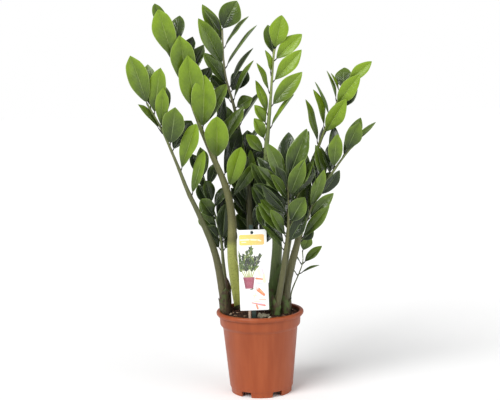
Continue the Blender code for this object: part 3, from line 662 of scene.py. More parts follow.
def make_card():
    """A thin sheet with a round hole, its corners just rounded, bent a little about its long axis."""
    material, nodes, shader = new_material("coated_card", roughness=0.35, Specular_IOR_Level=0.5)
    mottle = nodes.noise(nodes.object_place(), 160.0, detail=3)
    nodes.tree.links.new(nodes.mix(mottle, CARD_WHITE, CARD_GREY), shader.inputs["Base Color"])
    set_bump(nodes, shader, nodes.noise(nodes.object_place(), 1400.0), 0.00002)
    bm = bmesh.new()
    bmesh.ops.create_cube(bm, size=1, matrix=Matrix.Diagonal((CARD_WIDTH, CARD_THICKNESS, CARD_HEIGHT, 1)))
    corners = [edge for edge in bm.edges if abs(edge.verts[0].co.y - edge.verts[1].co.y) > CARD_THICKNESS / 2]
    bmesh.ops.bevel(
        bm, geom=corners, offset=CARD_CORNER, segments=5, profile=0.5, affect="EDGES", material=-1
    )
    cut_into_strips(bm)
    hole = bmesh.new()
    bmesh.ops.create_cone(
        hole,
        cap_ends=True,
        segments=28,
        radius1=CARD_HOLE_RADIUS,
        radius2=CARD_HOLE_RADIUS,
        depth=0.01,
        matrix=Matrix.Translation((0, 0, HOLE_HEIGHT)) @ Matrix.Rotation(math.pi / 2, 4, "X"),
    )
    card = new_piece("plant_card", bm, [material], ["label_card"])
    cut_away(card, [new_object("hole_cutter", hole)])
    for vert in card.data.vertices:
        vert.co.y += card_back(vert.co.x)
    card.data.transform(CARD_FRAME)


def flat_shape(bm, points, colour, over=0):
    """One printed shape: an outline of (x, z) on the card, filled, that lies over a number of others."""
    layer = bm.loops.layers.float_color["ink"]
    depth = -CARD_THICKNESS / 2 - INK_LIFT * (1 + over)
    verts = [bm.verts.new((x, depth, z)) for x, z in points]
    face = bm.faces.new(verts)
    if face.normal.y > 0:
        face.normal_flip()
    for loop in face.loops:
        loop[layer] = (*colour, 1.0)


def leaf_outline(x, z, length, width, lean):
    """Points of a small pointed leaf that starts at (x, z)."""
    points = []
    for side in (1, -1):
        shares = [index / 7 for index in range(8)]
        for share in shares if side == 1 else reversed(shares[1:-1]):
            across = side * width / 2 * math.sin(math.pi * share) ** 0.8
            points.append(
                (
                    x + share * length * math.sin(lean) + across * math.cos(lean),
                    z + share * length * math.cos(lean) - across * math.sin(lean),
                )
            )
    return points


def stroke(start, end, width_start, width_end):
    """A brush stroke between two points, as an outline with round ends."""
    (x0, z0), (x1, z1) = start, end
    heading = math.atan2(z1 - z0, x1 - x0)
    points = []
    for (x, z), width, turn in ((end, width_end, -math.pi / 2), (start, width_start, math.pi / 2)):
        for index in range(7):
            angle = heading + turn + math.pi * index / 6
            points.append((x + width / 2 * math.cos(angle), z + width / 2 * math.sin(angle)))
    return points


def make_print():
    """The card's print: a golden band at the top, a drawn plant in a plum-coloured pot, and red strokes."""
    material, nodes, shader = new_material("printing_ink", roughness=0.35)
    ink = nodes.attribute("ink").outputs["Color"]
    dots = nodes.noise(nodes.object_place(), 900.0, detail=2)
    lighter = nodes.mix(0.14, ink, INK_WORN)
    nodes.tree.links.new(nodes.mix(nodes.ramp(dots, 0.45, 0.65), ink, lighter), shader.inputs["Base Color"])
    ink_chance = random.Random(3)
    bm = bmesh.new()
    bm.loops.layers.float_color.new("ink")
    top = CARD_HEIGHT / 2
    left = -CARD_WIDTH / 2
    for index in range(BAND_STRIPS):
        x0, x1 = (left + BAND_INSET + BAND_WIDTH * (index + step) / BAND_STRIPS for step in (0, 1))
        corner = BAND_CORNER if index in (0, BAND_STRIPS - 1) else 0.0
        high, low = top - BAND_BELOW_TOP[0] - corner, top - BAND_BELOW_TOP[1] + corner
        share = index / (BAND_STRIPS - 1)
        gold = (0.92 - 0.02 * share, 0.62 - 0.10 * share, 0.13 + 0.04 * share)
        flat_shape(bm, [(x0, low), (x1, low), (x1, high), (x0, high)], gold)
    for start, end, wide in BAND_MARKS:
        flat_shape(bm, stroke(start, end, wide, wide * 0.8), BAND_CREAM, 1)
    for lean, length in DRAWN_STALKS:
        lean = math.radians(lean)
        foot = Vector((DRAWN_MIDDLE + DRAWN_SPREAD * math.sin(lean), DRAWN_POT_TOP))
        heading = Vector((math.sin(lean), math.cos(lean)))
        flat_shape(bm, stroke(foot, foot + heading * length, 0.0018, 0.0008), DRAWN_STALK_GREEN)
        for step in range(DRAWN_LEAVES):
            at = foot + heading * length * (0.30 + 0.70 * step / (DRAWN_LEAVES - 1))
            for side in (-1, 1, 0):
                green = ink_chance.choice(DRAWN_GREENS)
                turn = lean + side * math.radians(ink_chance.uniform(12, 45))
                size = ink_chance.uniform(0.0065, 0.0110)
                points = leaf_outline(*at, size, size * ink_chance.uniform(0.28, 0.42), turn)
                layer = 3 * (step + 1) + side
                flat_shape(bm, [(max(x, left + 0.0008), z) for x, z in points], green, layer)
    for index in range(DRAWN_POT_FACETS):
        shares = [(index + step) / DRAWN_POT_FACETS for step in (0, 1)]
        low_half, high_half = DRAWN_POT_HALVES
        lows = [(DRAWN_MIDDLE + (2 * share - 1) * low_half, DRAWN_POT_FOOT) for share in shares]
        highs = [(DRAWN_MIDDLE + (2 * share - 1) * high_half, DRAWN_POT_TOP) for share in shares]
        shade = math.sin(math.pi * (0.18 + 0.64 * shares[0]))
        plum = (0.10 + 0.26 * shade, 0.015 + 0.07 * shade, 0.03 + 0.10 * shade)
        flat_shape(bm, [*lows, *reversed(highs)], plum, 1)
    for layer, (start, end, wide, narrow, colour) in enumerate(BRUSH_MARKS):
        flat_shape(bm, stroke(start, end, wide, narrow), colour, layer)
    cut_into_strips(bm)
    for vert in bm.verts:
        vert.co.y += card_back(vert.co.x)
    bm.transform(CARD_FRAME)
    new_piece("card_print", bm, [material])


def make_stake():
    """A flat moulded bar that ends in a point, and the peg that goes through the card's hole."""
    material, nodes, shader = new_material("stake_plastic", roughness=0.4)
    wear = nodes.noise(nodes.object_place(), 300.0, detail=3)
    nodes.tree.links.new(nodes.mix(wear, STAKE_GREEN, STAKE_WORN), shader.inputs["Base Color"])
    set_bump(nodes, shader, nodes.noise(nodes.object_place(), 1200.0), 0.00003)
    low = -CARD_HEIGHT / 2 - CARD_ABOVE_SOIL - STAKE_IN_SOIL
    high = CARD_HEIGHT / 2 + STAKE_ABOVE_CARD
    taper_top = low + STAKE_WIDTH * 2
    behind = FRAME_CARD_THICKNESS / 2 + SOIL_GAP + STAKE_THICKNESS / 2
    bm = bmesh.new()
    middle = Matrix.Translation((STAKE_OFFSET, behind, (low + high) / 2))
    size = Matrix.Diagonal((STAKE_WIDTH, STAKE_THICKNESS, high - low, 1))
    bmesh.ops.create_cube(bm, size=1, matrix=middle @ size)
    for vert in bm.verts:
        if vert.co.z < 0:
            vert.co.x = STAKE_OFFSET + (vert.co.x - STAKE_OFFSET) * STAKE_POINT
    everything = bm.verts[:] + bm.edges[:] + bm.faces[:]
    bmesh.ops.bisect_plane(bm, geom=everything, plane_co=(0, 0, taper_top), plane_no=(0, 0, 1))
    for vert in bm.verts:
        if abs(vert.co.z - taper_top) < SEAM_WELD:
            vert.co.x = STAKE_OFFSET + math.copysign(STAKE_WIDTH / 2, vert.co.x - STAKE_OFFSET)
    bmesh.ops.bevel(bm, geom=bm.edges[:], offset=0.0005, segments=3, profile=0.5, affect="EDGES", material=-1)
    peg_radius = CARD_HOLE_RADIUS - SOIL_GAP
    peg_front = -CARD_THICKNESS / 2 - 0.0005
    peg_middle = Matrix.Translation((0, (peg_front + behind) / 2, HOLE_HEIGHT))
    peg = bmesh.ops.create_cone(
        bm,
        cap_ends=True,
        segments=24,
        radius1=peg_radius,
        radius2=peg_radius * 0.92,
        depth=behind - peg_front,
        matrix=peg_middle @ Matrix.Rotation(math.pi / 2, 4, "X"),
    )
    edges = {edge for vert in peg["verts"] for edge in vert.link_edges}
    rims = [edge for edge in edges if abs(edge.verts[0].co.y - edge.verts[1].co.y) < WELD]
    bmesh.ops.bevel(bm, geom=rims, offset=0.0004, segments=3, profile=0.5, affect="EDGES", material=-1)
    bm.transform(CARD_FRAME)
    new_piece("stake_bar", bm, [material], ["label_stake"])


def make_stick():
    """A thin split stick, not quite round, with a fine grain along it."""
    material, nodes, shader = new_material("pale_wood", roughness=0.75, Specular_IOR_Level=0.3)
    grain = nodes.noise(nodes.object_place((0.05, 0.05, 1.2)), 60.0, detail=5, roughness=0.65)
    colour = nodes.mix(nodes.ramp(grain, 0.35, 0.75), STICK_PALE, STICK_DARK)
    nodes.tree.links.new(colour, shader.inputs["Base Color"])
    set_bump(nodes, shader, grain, 0.0002)
    low = -CARD_HEIGHT / 2 - CARD_ABOVE_SOIL - STICK_IN_SOIL
    length = STICK_HEIGHT + STICK_IN_SOIL
    behind = FRAME_CARD_THICKNESS / 2 + SOIL_GAP + STICK_RADIUS
    bm = bmesh.new()
    place = Matrix.Translation((STICK_OFFSET, behind, low + length / 2))
    bmesh.ops.create_cone(
        bm, cap_ends=True, segments=16, radius1=STICK_RADIUS, radius2=STICK_RADIUS, depth=length, matrix=place
    )
    sides = [edge for edge in bm.edges if abs(edge.verts[0].co.z - edge.verts[1].co.z) > length / 2]
    bmesh.ops.subdivide_edges(bm, edges=sides, cuts=24, use_grid_fill=True)
    for vert in bm.verts:
        spot = vert.co - Vector((STICK_OFFSET, behind, 0))
        shrink = 0.90 + 0.10 * noise.noise(Vector((spot.x * 500, spot.y * 500, spot.z * 40)))
        vert.co.x = STICK_OFFSET + spot.x * shrink
        vert.co.y = behind + spot.y * shrink
    bm.transform(CARD_FRAME)
    new_piece("stick_of_wood", bm, [material], ["support_stick"])


make_card()
make_print()
make_stake()
make_stick()

# --------------------------------------------------------------- fronds
# Ten fronds grow from the soil: each is one fleshy stalk, thick at its foot, that carries two rows of waxy
# leaflets, each on a short stub of its own. The stalks and leaflets stand where the frame's solids stand.

PLANT_HEIGHT = 0.775
ROUTES_TALL = 0.613  # the height above the soil, and the soil's radius, that the routes are drawn for
ROUTES_SOIL_RADIUS = 0.0782
ROUTE_SAMPLES = 8
STEM_IN_SOIL = 0.015
STEM_STATIONS = 14
STEM_RINGS = 90
STEM_SIDES = 20
NODE_SWELLING = 0.10  # of the stem's radius, where a leaflet leaves it
NODE_LENGTH = 0.012  # of such a swelling, as a share of the stem
PLAIN_STEM_SIDES = 8
LEAFLET_THICKNESS = 0.0014
LEAFLET_CLEARANCE = 0.0012
FRAME_GAP = 0.0003
STALK_LENGTH = 0.003
STALK_RADIUS = 0.0012
STUB_OVERLAP = 1.9  # stalk lengths that the finished stub reaches, into the blade
STUB_AROUND = 8
STUB_UP = 5
BLADE_SIDES = 4
BLADE_STATIONS = (0.1, 0.28, 0.5, 0.72, 0.9)
BLADE_CREST = 1.12
BLADE_FULLNESS = 0.75
BLADE_FOLD = 0.14
BLADE_ARCH = 0.05
BLADE_REACH = 0.6
BLADE_ACROSS = 14
ROUND_OUTLINE = (1.25, 0.58)  # crest and fullness of the finished leaflets
LONG_OUTLINE = (1.06, 0.80)
LONG_LEAVED = ("top", "centre", "right", "right_low", "front", "sprout")
BLADE_ALONG = 30
TURN_STEP = 4
TURN_LIMIT = 32
LEAST_SLANT = 0.2
SOIL_LEVEL = SOIL_EDGE_TOP + SOIL_MOUND / 2
ROUTE_SCALE = (PLANT_HEIGHT - SOIL_LEVEL) / ROUTES_TALL

# Whether a frond's leaflets are pieces of their own, its stalk's radii at the base and at the tip, the
# stalk's route as points (x, y, height above the soil), and its leaflets. Each leaflet is (share of the stem,
# lean to the right, lean to the front, roll to the right, length, width), in degrees and millimetres. The
# inner ones fill the frond from behind.
FRONDS = {
    "left": {
        "own_leaflets": True,
        "radii": (0.0085, 0.0018),
        "route": [
            (-0.068, -0.005, 0.000), (-0.085, -0.012, 0.113), (-0.112, -0.020, 0.190),
            (-0.136, -0.028, 0.246), (-0.155, -0.036, 0.300), (-0.180, -0.048, 0.365),
            (-0.207, -0.060, 0.419),
        ],
        "leaflets": [
            (1.00, -17, 10, 0, 95, 40), (0.98, -4, -9, -10, 84, 34), (0.95, 10, 12, -10, 88, 36),
            (0.89, 6, -22, -25, 82, 34), (0.88, 5, 18, -8, 80, 27), (0.88, -29, 18, 75, 63, 32),
            (0.80, 3, 14, -5, 77, 43), (0.77, 32, -20, -20, 72, 36), (0.68, 17, 6, -20, 95, 34),
            (0.56, 16, 12, -30, 90, 26),
        ],
    },
    "left_back": {
        "own_leaflets": False,
        "radii": (0.0045, 0.0014),
        "route": [
            (-0.064, 0.036, 0.000), (-0.072, 0.035, 0.089), (-0.075, 0.032, 0.135),
            (-0.083, 0.030, 0.180), (-0.096, 0.030, 0.225), (-0.107, 0.030, 0.270),
        ],
        "leaflets": [
            (1.00, -4, 6, 20, 60, 26), (0.92, 22, 0, -40, 52, 26), (0.90, -32, 2, 60, 44, 24),
            (0.80, -10, 14, 30, 48, 28), (0.76, 30, -6, -40, 50, 26), (0.69, -36, 12, 20, 50, 32),
            (0.59, -36, 8, 10, 50, 34), (0.50, 20, 8, -50, 60, 26), (0.45, -30, 14, 30, 36, 22),
            (0.66, 20, -10, 0, 69, 32), (0.52, 20, -6, 10, 75, 32),
        ],
        "inner_leaflets": [
            (0.99, -24, -10, 20, 56, 26), (0.76, -29, -10, 20, 56, 30), (0.66, 32, 4, -30, 52, 26),
            (0.52, -40, 8, 20, 39, 26), (0.44, 35, -6, -20, 44, 24),
        ],
    },
    "main": {
        "own_leaflets": True,
        "radii": (0.0115, 0.0018),
        "route": [
            (-0.040, 0.030, 0.000), (-0.053, 0.022, 0.099), (-0.052, 0.010, 0.186),
            (-0.062, 0.000, 0.249), (-0.083, -0.010, 0.305), (-0.104, -0.022, 0.358),
            (-0.126, -0.036, 0.423), (-0.149, -0.050, 0.484), (-0.167, -0.060, 0.537),
        ],
        "leaflets": [
            (1.00, -14, -10, 30, 76, 30), (0.94, -15, 12, -5, 94, 43), (0.95, 9, -22, -30, 84, 36),
            (0.91, -22, 0, 70, 72, 30), (0.83, -5, 20, 0, 101, 47), (0.89, 19, -24, -35, 80, 34),
            (0.84, 23, -24, -30, 96, 38), (0.74, -6, 22, 4, 113, 47), (0.78, 28, -26, -35, 84, 34),
            (0.68, 4, 24, -3, 106, 49), (0.68, 27, -14, -30, 100, 36), (0.57, 30, -12, -40, 114, 38),
            (0.56, 2, 22, 0, 87, 47), (0.45, 18, 12, 10, 83, 36),
        ],
        "inner_leaflets": [
            (0.60, 22, -30, 40, 131, 30), (0.49, 21, -22, 10, 107, 32), (0.71, 35, -30, 40, 89, 28),
            (0.46, 40, -14, 20, 68, 28), (0.41, 36, 6, 30, 84, 26),
        ],
    },
    "top": {
        "own_leaflets": False,
        "radii": (0.0085, 0.0018),
        "route": [
            (-0.014, 0.050, 0.000), (-0.016, 0.055, 0.092), (-0.017, 0.056, 0.210),
            (-0.022, 0.056, 0.278), (-0.031, 0.056, 0.344), (-0.043, 0.056, 0.409),
            (-0.057, 0.056, 0.461), (-0.062, 0.056, 0.505), (-0.063, 0.056, 0.563),
        ],
        "leaflets": [
            (1.00, 29, 8, 0, 64, 46), (0.99, -30, 0, 70, 58, 34), (0.95, -20, -8, 30, 94, 34),
            (0.94, 35, -6, -75, 80, 36), (0.88, -22, 6, 20, 103, 36), (0.87, 34, 2, -78, 104, 38),
            (0.81, -33, 10, 40, 78, 34), (0.80, 29, -10, -76, 92, 38), (0.78, 38, -22, -10, 60, 38),
            (0.75, 22, 8, -76, 92, 38), (0.72, 60, 14, -20, 40, 30), (0.66, 33, -4, -80, 84, 36),
            (0.57, 36, 4, -80, 68, 34), (0.62, -30, -6, 30, 80, 36), (0.52, -26, 10, 20, 80, 38),
            (0.45, 4, 10, 10, 67, 18), (0.38, -13, 14, 0, 60, 18),
        ],
        "inner_leaflets": [
            (0.75, -35, -6, 30, 68, 30), (0.57, -27, -6, 20, 88, 32), (0.49, 38, -8, -20, 56, 30),
            (0.46, -25, 6, 20, 69, 30), (0.39, 41, -8, -10, 64, 32), (0.34, -29, 4, 20, 61, 28),
            (0.29, 25, 6, -20, 64, 28),
        ],
    },
    "centre": {
        "own_leaflets": True,
        "radii": (0.0120, 0.0020),
        "route": [
            (0.024, 0.008, 0.000), (0.034, 0.006, 0.088), (0.037, 0.004, 0.145), (0.029, 0.002, 0.215),
            (0.019, 0.000, 0.305), (0.024, 0.000, 0.364), (0.030, 0.000, 0.423), (0.037, 0.000, 0.501),
            (0.040, 0.000, 0.520),
        ],
        "leaflets": [
            (1.00, 13, 8, 0, 66, 38), (0.98, -7, -20, 15, 66, 32), (0.96, 47, 4, -15, 72, 32),
            (0.91, -9, 12, 65, 46, 24), (0.88, 43, 8, -10, 82, 31), (0.84, -20, 10, 62, 62, 24),
            (0.79, 43, 10, -8, 88, 34), (0.76, -17, 4, 50, 68, 30), (0.72, -30, 12, 40, 44, 26),
            (0.71, 33, 4, -78, 78, 32), (0.66, -24, 14, 30, 48, 26), (0.61, -40, -6, 40, 50, 30),
        ],
        "inner_leaflets": [
            (0.47, -29, 8, 30, 64, 26), (0.37, -28, 6, 20, 68, 22), (0.30, -26, -4, 20, 61, 26),
            (0.52, 34, -12, -10, 60, 28),
            (0.34, 29, -10, -10, 72, 32), (0.39, -23, -6, 10, 66, 30), (0.47, 28, -12, -10, 67, 30),
        ],
    },
    "right": {
        "own_leaflets": True,
        "radii": (0.0080, 0.0018),
        "route": [
            (0.044, 0.040, 0.000), (0.050, 0.034, 0.070), (0.064, 0.024, 0.152), (0.079, 0.012, 0.213),
            (0.097, 0.000, 0.268), (0.124, -0.010, 0.333), (0.147, -0.020, 0.389), (0.164, -0.025, 0.424),
            (0.178, -0.030, 0.450),
        ],
        "leaflets": [
            (1.00, 49, 6, -10, 62, 25), (0.97, 6, -28, -20, 50, 35), (0.95, -20, 6, 78, 44, 26),
            (0.90, 32, 14, -5, 76, 32), (0.92, -13, 4, 72, 60, 26), (0.85, -19, -6, 80, 72, 28),
            (0.78, 31, 16, 0, 80, 34), (0.80, -8, 6, 60, 76, 30), (0.73, -11, 6, 58, 88, 30),
        ],
        "inner_leaflets": [
            (0.88, 48, -12, -10, 64, 26), (0.71, 20, -12, 60, 43, 18), (0.56, 0, -10, 0, 63, 30),
            (0.48, -19, -8, 20, 68, 30), (0.41, 33, -10, 0, 68, 30),
            (0.34, -18, -4, 10, 67, 30), (0.39, 24, -8, 0, 65, 30), (0.30, 28, -6, 0, 58, 26),
        ],
    },
    "right_low": {
        "own_leaflets": False,
        "radii": (0.0095, 0.0018),
        "route": [
            (0.049, -0.018, 0.000), (0.054, -0.022, 0.054), (0.063, -0.028, 0.093),
            (0.073, -0.030, 0.129), (0.081, -0.032, 0.158), (0.096, -0.034, 0.194),
            (0.118, -0.036, 0.235), (0.147, -0.038, 0.279), (0.173, -0.040, 0.314),
            (0.188, -0.042, 0.331),
        ],
        "leaflets": [
            (1.00, 43, -6, -75, 62, 34), (0.95, 23, 14, 5, 62, 33), (0.92, 27, -16, -10, 88, 28),
            (0.84, 6, 14, 5, 68, 29), (0.80, 8, -18, -20, 72, 28), (0.75, -10, 4, 40, 74, 32),
            (0.67, -3, 12, 72, 78, 34), (0.67, 31, -12, -20, 54, 28), (0.57, 17, 2, -70, 92, 36),
            (0.54, 43, 12, -10, 70, 25), (0.43, 38, 14, -20, 84, 25), (0.60, 5, 10, 30, 80, 30),
            (0.50, 10, -12, 0, 74, 30),
        ],
        "inner_leaflets": [
            (0.85, 1, -15, 0, 83, 24), (0.81, 3, -5, 60, 56, 22), (0.65, -3, -10, 20, 99, 26),
            (0.48, 23, 0, 0, 49, 24), (0.41, 41, 8, 0, 31, 20), (0.68, 39, -14, 0, 61, 28),
        ],
    },
    "front": {
        "own_leaflets": False,
        "radii": (0.0070, 0.0016),
        "route": [
            (0.030, -0.038, 0.000), (0.044, -0.045, 0.072), (0.053, -0.055, 0.133),
            (0.058, -0.060, 0.182), (0.059, -0.065, 0.233), (0.057, -0.068, 0.266),
        ],
        "leaflets": [
            (1.00, 21, 6, -10, 106, 38), (0.99, 3, -22, -5, 104, 40), (0.96, 18, -14, -30, 120, 34),
            (0.97, -17, -6, 20, 88, 30), (0.93, -40, -14, 20, 88, 30), (0.90, -41, 8, 45, 84, 26),
            (0.87, -32, 14, 50, 74, 26), (0.89, 22, 10, -10, 78, 30), (0.84, 31, 2, -60, 94, 30),
            (0.76, -42, -8, 30, 76, 30), (0.70, 30, 16, -20, 60, 36), (0.62, -40, 4, 25, 78, 32),
            (0.60, -27, 14, 45, 68, 26), (0.50, -41, 14, 65, 66, 26), (0.94, -13, -20, 10, 82, 32),
            (0.67, -45, -6, 20, 72, 30),
        ],
        "inner_leaflets": [
            (0.94, -33, -5, 20, 54, 22), (0.91, 25, 12, -10, 73, 30), (0.87, 35, 8, 60, 96, 18),
            (0.85, 44, -4, 65, 94, 18), (0.83, -56, 4, 25, 75, 24), (0.77, -59, -8, 30, 77, 22),
            (0.70, -38, 14, 40, 40, 14), (0.54, -49, 0, 20, 64, 24), (0.56, 31, 8, -10, 60, 28),
        ],
    },
    "back": {
        "own_leaflets": False,
        "radii": (0.0060, 0.0016),
        "route": [
            (0.012, 0.050, 0.000), (0.004, 0.062, 0.092), (-0.004, 0.072, 0.175), (-0.008, 0.080, 0.241),
            (-0.012, 0.086, 0.286),
        ],
        "leaflets": [
            (1.00, -4, 0, 0, 74, 46), (0.94, 28, 4, -30, 66, 34), (0.87, -30, 0, 30, 60, 34),
            (0.81, 30, -6, -20, 64, 38), (0.74, -34, -4, 30, 70, 42), (0.66, 34, 4, -10, 70, 40),
            (0.59, -36, 0, 30, 66, 34), (0.52, 36, -10, -20, 72, 42), (0.48, -32, 6, 20, 64, 38),
            (0.77, -27, -10, 10, 70, 35), (0.66, 23, -8, 0, 78, 35), (0.54, -25, 4, 10, 84, 39),
        ],
        "inner_leaflets": [
            (0.97, 24, -6, -10, 67, 30), (0.80, -25, -14, 20, 65, 32), (0.66, 35, -6, -20, 62, 32),
            (0.54, 44, 4, -20, 52, 30), (0.45, -33, 6, 20, 49, 28), (0.87, 36, 8, -10, 56, 28),
            (0.42, 25, -6, -10, 58, 30), (0.62, -17, 8, 10, 67, 30),
        ],
    },
    "sprout": {
        "own_leaflets": False,
        "radii": (0.0016, 0.0010),
        "route": [
            (0.062, 0.008, 0.000), (0.064, 0.006, 0.034), (0.080, 0.005, 0.073), (0.088, 0.005, 0.096),
            (0.088, 0.005, 0.117),
        ],
        "leaflets": [
            (1.00, 22, 6, 10, 38, 24), (0.82, 46, 4, -35, 50, 19), (0.80, -34, 0, 80, 34, 14),
            (0.64, 64, 0, -80, 42, 16), (0.60, -40, 0, 80, 30, 12),
        ],
    },
}

# The age of each frond's lowest and of its highest leaflets, from 0 for old dark ones to 1 for bright young
# ones, and its stalk's colours at shares of its height. These ages are partly real age and partly painted
# shade: fronds at the back and in the middle are darker for the shade they stand in.
FROND_LOOKS = {
    "left": (0.60, 0.52, [
        (0.00, (0.075, 0.055, 0.024)), (0.13, (0.090, 0.078, 0.032)), (0.40, (0.072, 0.080, 0.030)),
        (0.75, (0.115, 0.124, 0.050)), (1.00, (0.140, 0.185, 0.050)),
    ]),
    "left_back": (0.15, 0.25, [
        (0.00, (0.040, 0.028, 0.012)), (0.15, (0.090, 0.085, 0.040)), (0.40, (0.130, 0.150, 0.070)),
        (1.00, (0.100, 0.140, 0.040)),
    ]),
    "main": (0.84, 0.60, [
        (0.00, (0.440, 0.480, 0.095)), (0.24, (0.400, 0.430, 0.110)), (0.265, (0.150, 0.140, 0.050)),
        (0.29, (0.230, 0.220, 0.080)), (0.36, (0.130, 0.124, 0.048)), (0.60, (0.150, 0.155, 0.055)),
        (1.00, (0.200, 0.280, 0.060)),
    ]),
    "top": (0.30, 0.50, [
        (0.00, (0.040, 0.040, 0.015)), (0.50, (0.080, 0.080, 0.035)), (1.00, (0.240, 0.230, 0.130)),
    ]),
    "centre": (0.45, 0.98, [
        (0.00, (0.050, 0.055, 0.020)), (0.12, (0.060, 0.088, 0.024)), (0.35, (0.100, 0.140, 0.040)),
        (0.70, (0.150, 0.195, 0.060)), (1.00, (0.250, 0.300, 0.090)),
    ]),
    "right": (0.45, 0.92, [
        (0.00, (0.050, 0.050, 0.020)), (0.30, (0.110, 0.120, 0.040)), (1.00, (0.180, 0.220, 0.060)),
    ]),
    "right_low": (0.34, 0.50, [
        (0.00, (0.060, 0.055, 0.025)), (0.15, (0.070, 0.066, 0.027)), (0.40, (0.105, 0.100, 0.042)),
        (1.00, (0.130, 0.160, 0.050)),
    ]),
    "front": (0.28, 0.36, [
        (0.00, (0.075, 0.068, 0.028)), (0.30, (0.088, 0.086, 0.034)), (1.00, (0.120, 0.125, 0.042)),
    ]),
    "back": (0.06, 0.12, [
        (0.00, (0.030, 0.030, 0.012)), (0.50, (0.050, 0.060, 0.020)), (1.00, (0.070, 0.100, 0.030)),
    ]),
    "sprout": (0.40, 0.50, [(0.00, (0.090, 0.100, 0.030)), (1.00, (0.120, 0.160, 0.050))]),
}
INNER_SHADE = 0.36  # by which the inner leaflets are darker: painted shade for the plant's shaded middle

# Dry or green sheaths that clasp a stalk's foot: (frond, degrees that it faces, height, opening at its tip
# in millimetres, half its width in degrees, share of dry brown skin).
SHEATHS = [
    ("left", -60, 52, 2.5, 130, 0.70), ("left", 20, 44, 5.0, 110, 0.9), ("left", -150, 30, 3.0, 100, 0.6),
    ("left_back", -90, 66, 3.5, 130, 1.0), ("left_back", 40, 44, 4.0, 120, 1.0),
    ("main", 30, 24, 2.5, 110, 0.8), ("main", -60, 12, 1.5, 120, 0.6),
    ("centre", -55, 98, 4.5, 105, 0.1), ("centre", -150, 62, 3.0, 110, 0.2),
    ("centre", 30, 46, 4.0, 110, 0.5), ("right_low", -150, 62, 4.0, 110, 0.55),
    ("right_low", -20, 30, 2.0, 100, 0.6), ("right_low", 90, 44, 4.0, 110, 0.7),
    ("front", -150, 44, 2.5, 90, 0.6), ("front", -20, 20, 1.0, 100, 0.3),
    ("right", -100, 70, 3.5, 120, 0.3), ("top", -90, 80, 3.0, 120, 0.3), ("back", -90, 60, 2.5, 120, 0.5),
]
SHEATH_AROUND = 28
SHEATH_UP = 16
SHEATH_SKIN = 0.0006
SHEATH_IN_SOIL = 0.006
SHEATH_GREEN = (0.070, 0.110, 0.026, 1.0)
SHEATH_BROWN = (0.045, 0.027, 0.015, 1.0)
SHEATH_PALE = (0.130, 0.088, 0.050, 1.0)
# The old colours also serve as painted shade, and the young ones as painted light, on the leaflets.
LEAF_OLD_AND_SHADED = (0.012, 0.023, 0.005, 1.0)
LEAF_GROWN = (0.070, 0.116, 0.011, 1.0)
LEAF_YOUNG_AND_LIT = (0.180, 0.288, 0.008, 1.0)
RIB_PALE = (0.34, 0.44, 0.12, 1.0)
UNDER_OLD_AND_SHADED = (0.045, 0.075, 0.035, 1.0)
UNDER_YOUNG_AND_LIT = (0.150, 0.230, 0.070, 1.0)
UNDER_GROWN = (0.095, 0.150, 0.050, 1.0)
OLD_RIB_AND_EDGE_HIGHLIGHT = (0.24, 0.32, 0.14, 1.0)
YOUNG_ROUGHER = 0.16  # how much duller the youngest leaflets are than the oldest
STREAK_PALE = (0.5, 0.55, 0.2, 1.0)
MOTTLE_DARK = (0.03, 0.04, 0.012, 1.0)

leaf_chance = random.Random(11)


def along(points, share):
    """The point at a share of the line's length, and the line's direction there."""
    lengths = [(b - a).length for a, b in zip(points, points[1:])]
    left = share * sum(lengths)
    index = 0
    while index < len(lengths) - 1 and left > lengths[index]:
        left -= lengths[index]
        index += 1
    start, end = points[index], points[index + 1]
    return start.lerp(end, left / lengths[index]), (end - start).normalized()


def smooth_route(points, stations):
    """Places a number of stations evenly along a Catmull-Rom curve through the points."""
    ends = [2 * points[0] - points[1], *points, 2 * points[-1] - points[-2]]
    dense = []
    for a, b, c, d in zip(ends, ends[1:], ends[2:], ends[3:]):
        for step in range(ROUTE_SAMPLES):
            t = step / ROUTE_SAMPLES
            bend = (2 * a - 5 * b + 4 * c - d) * t**2 + (3 * b - 3 * c + d - a) * t**3
            dense.append(b + (c - a) * t / 2 + bend / 2)
    dense.append(points[-1])
    return [along(dense, index / (stations - 1))[0] for index in range(stations)]


def stem_radius(frond, share):
    """The stem is thick at its foot, and thins at once and then more slowly."""
    base, tip = frond["radii"]
    return tip + (base - tip) * (1 - share**1.6) ** 2


def stem_line(frond, stations=STEM_STATIONS):
    """The stem's stations: straight down into the soil, then along its route."""
    route = [Vector(point) * ROUTE_SCALE for point in frond["route"]]
    base_radius = frond["radii"][0]
    foot = Vector(frond["route"][0]) * (SOIL_RADIUS - base_radius) / (ROUTES_SOIL_RADIUS - base_radius)
    shift = foot - route[0] + Vector((0, 0, SOIL_LEVEL))
    return smooth_route([point + shift for point in route], stations)


def ring_at(point, direction, radius):
    """A matrix that carries the unit circle to a ring about the point, square to the direction."""
    turn = direction.to_track_quat("Z", "Y").to_matrix().to_4x4()
    return Matrix.Translation(point) @ turn @ Matrix.Diagonal((radius, radius, 1, 1))


def loft(rings, sides):
    """Joins a row of rings, each a matrix for a unit circle, and closes both ends."""
    bm = bmesh.new()
    loops = []
    for matrix in rings:
        verts = bmesh.ops.create_circle(bm, segments=sides, radius=1, matrix=matrix)["verts"]
        loops.append([edge for edge in bm.edges if edge.verts[0] in verts])
    for lower, upper in zip(loops, loops[1:]):
        bmesh.ops.bridge_loops(bm, edges=lower + upper)
    for end in (loops[0], loops[-1]):
        bmesh.ops.contextual_create(bm, geom=end)
    return bm


def plain_stem(frond, line):
    """The stem as the frame has it, to keep leaflets clear of it."""
    up = Vector((0, 0, 1))
    rings = [ring_at(line[0] - up * STEM_IN_SOIL, up, stem_radius(frond, 0))]
    for index, point in enumerate(line):
        before, after = line[max(index - 1, 0)], line[min(index + 1, len(line) - 1)]
        direction = (after - before).normalized() if index else up
        rings.append(ring_at(point, direction, stem_radius(frond, index / (STEM_STATIONS - 1))))
    return loft(rings, PLAIN_STEM_SIDES)


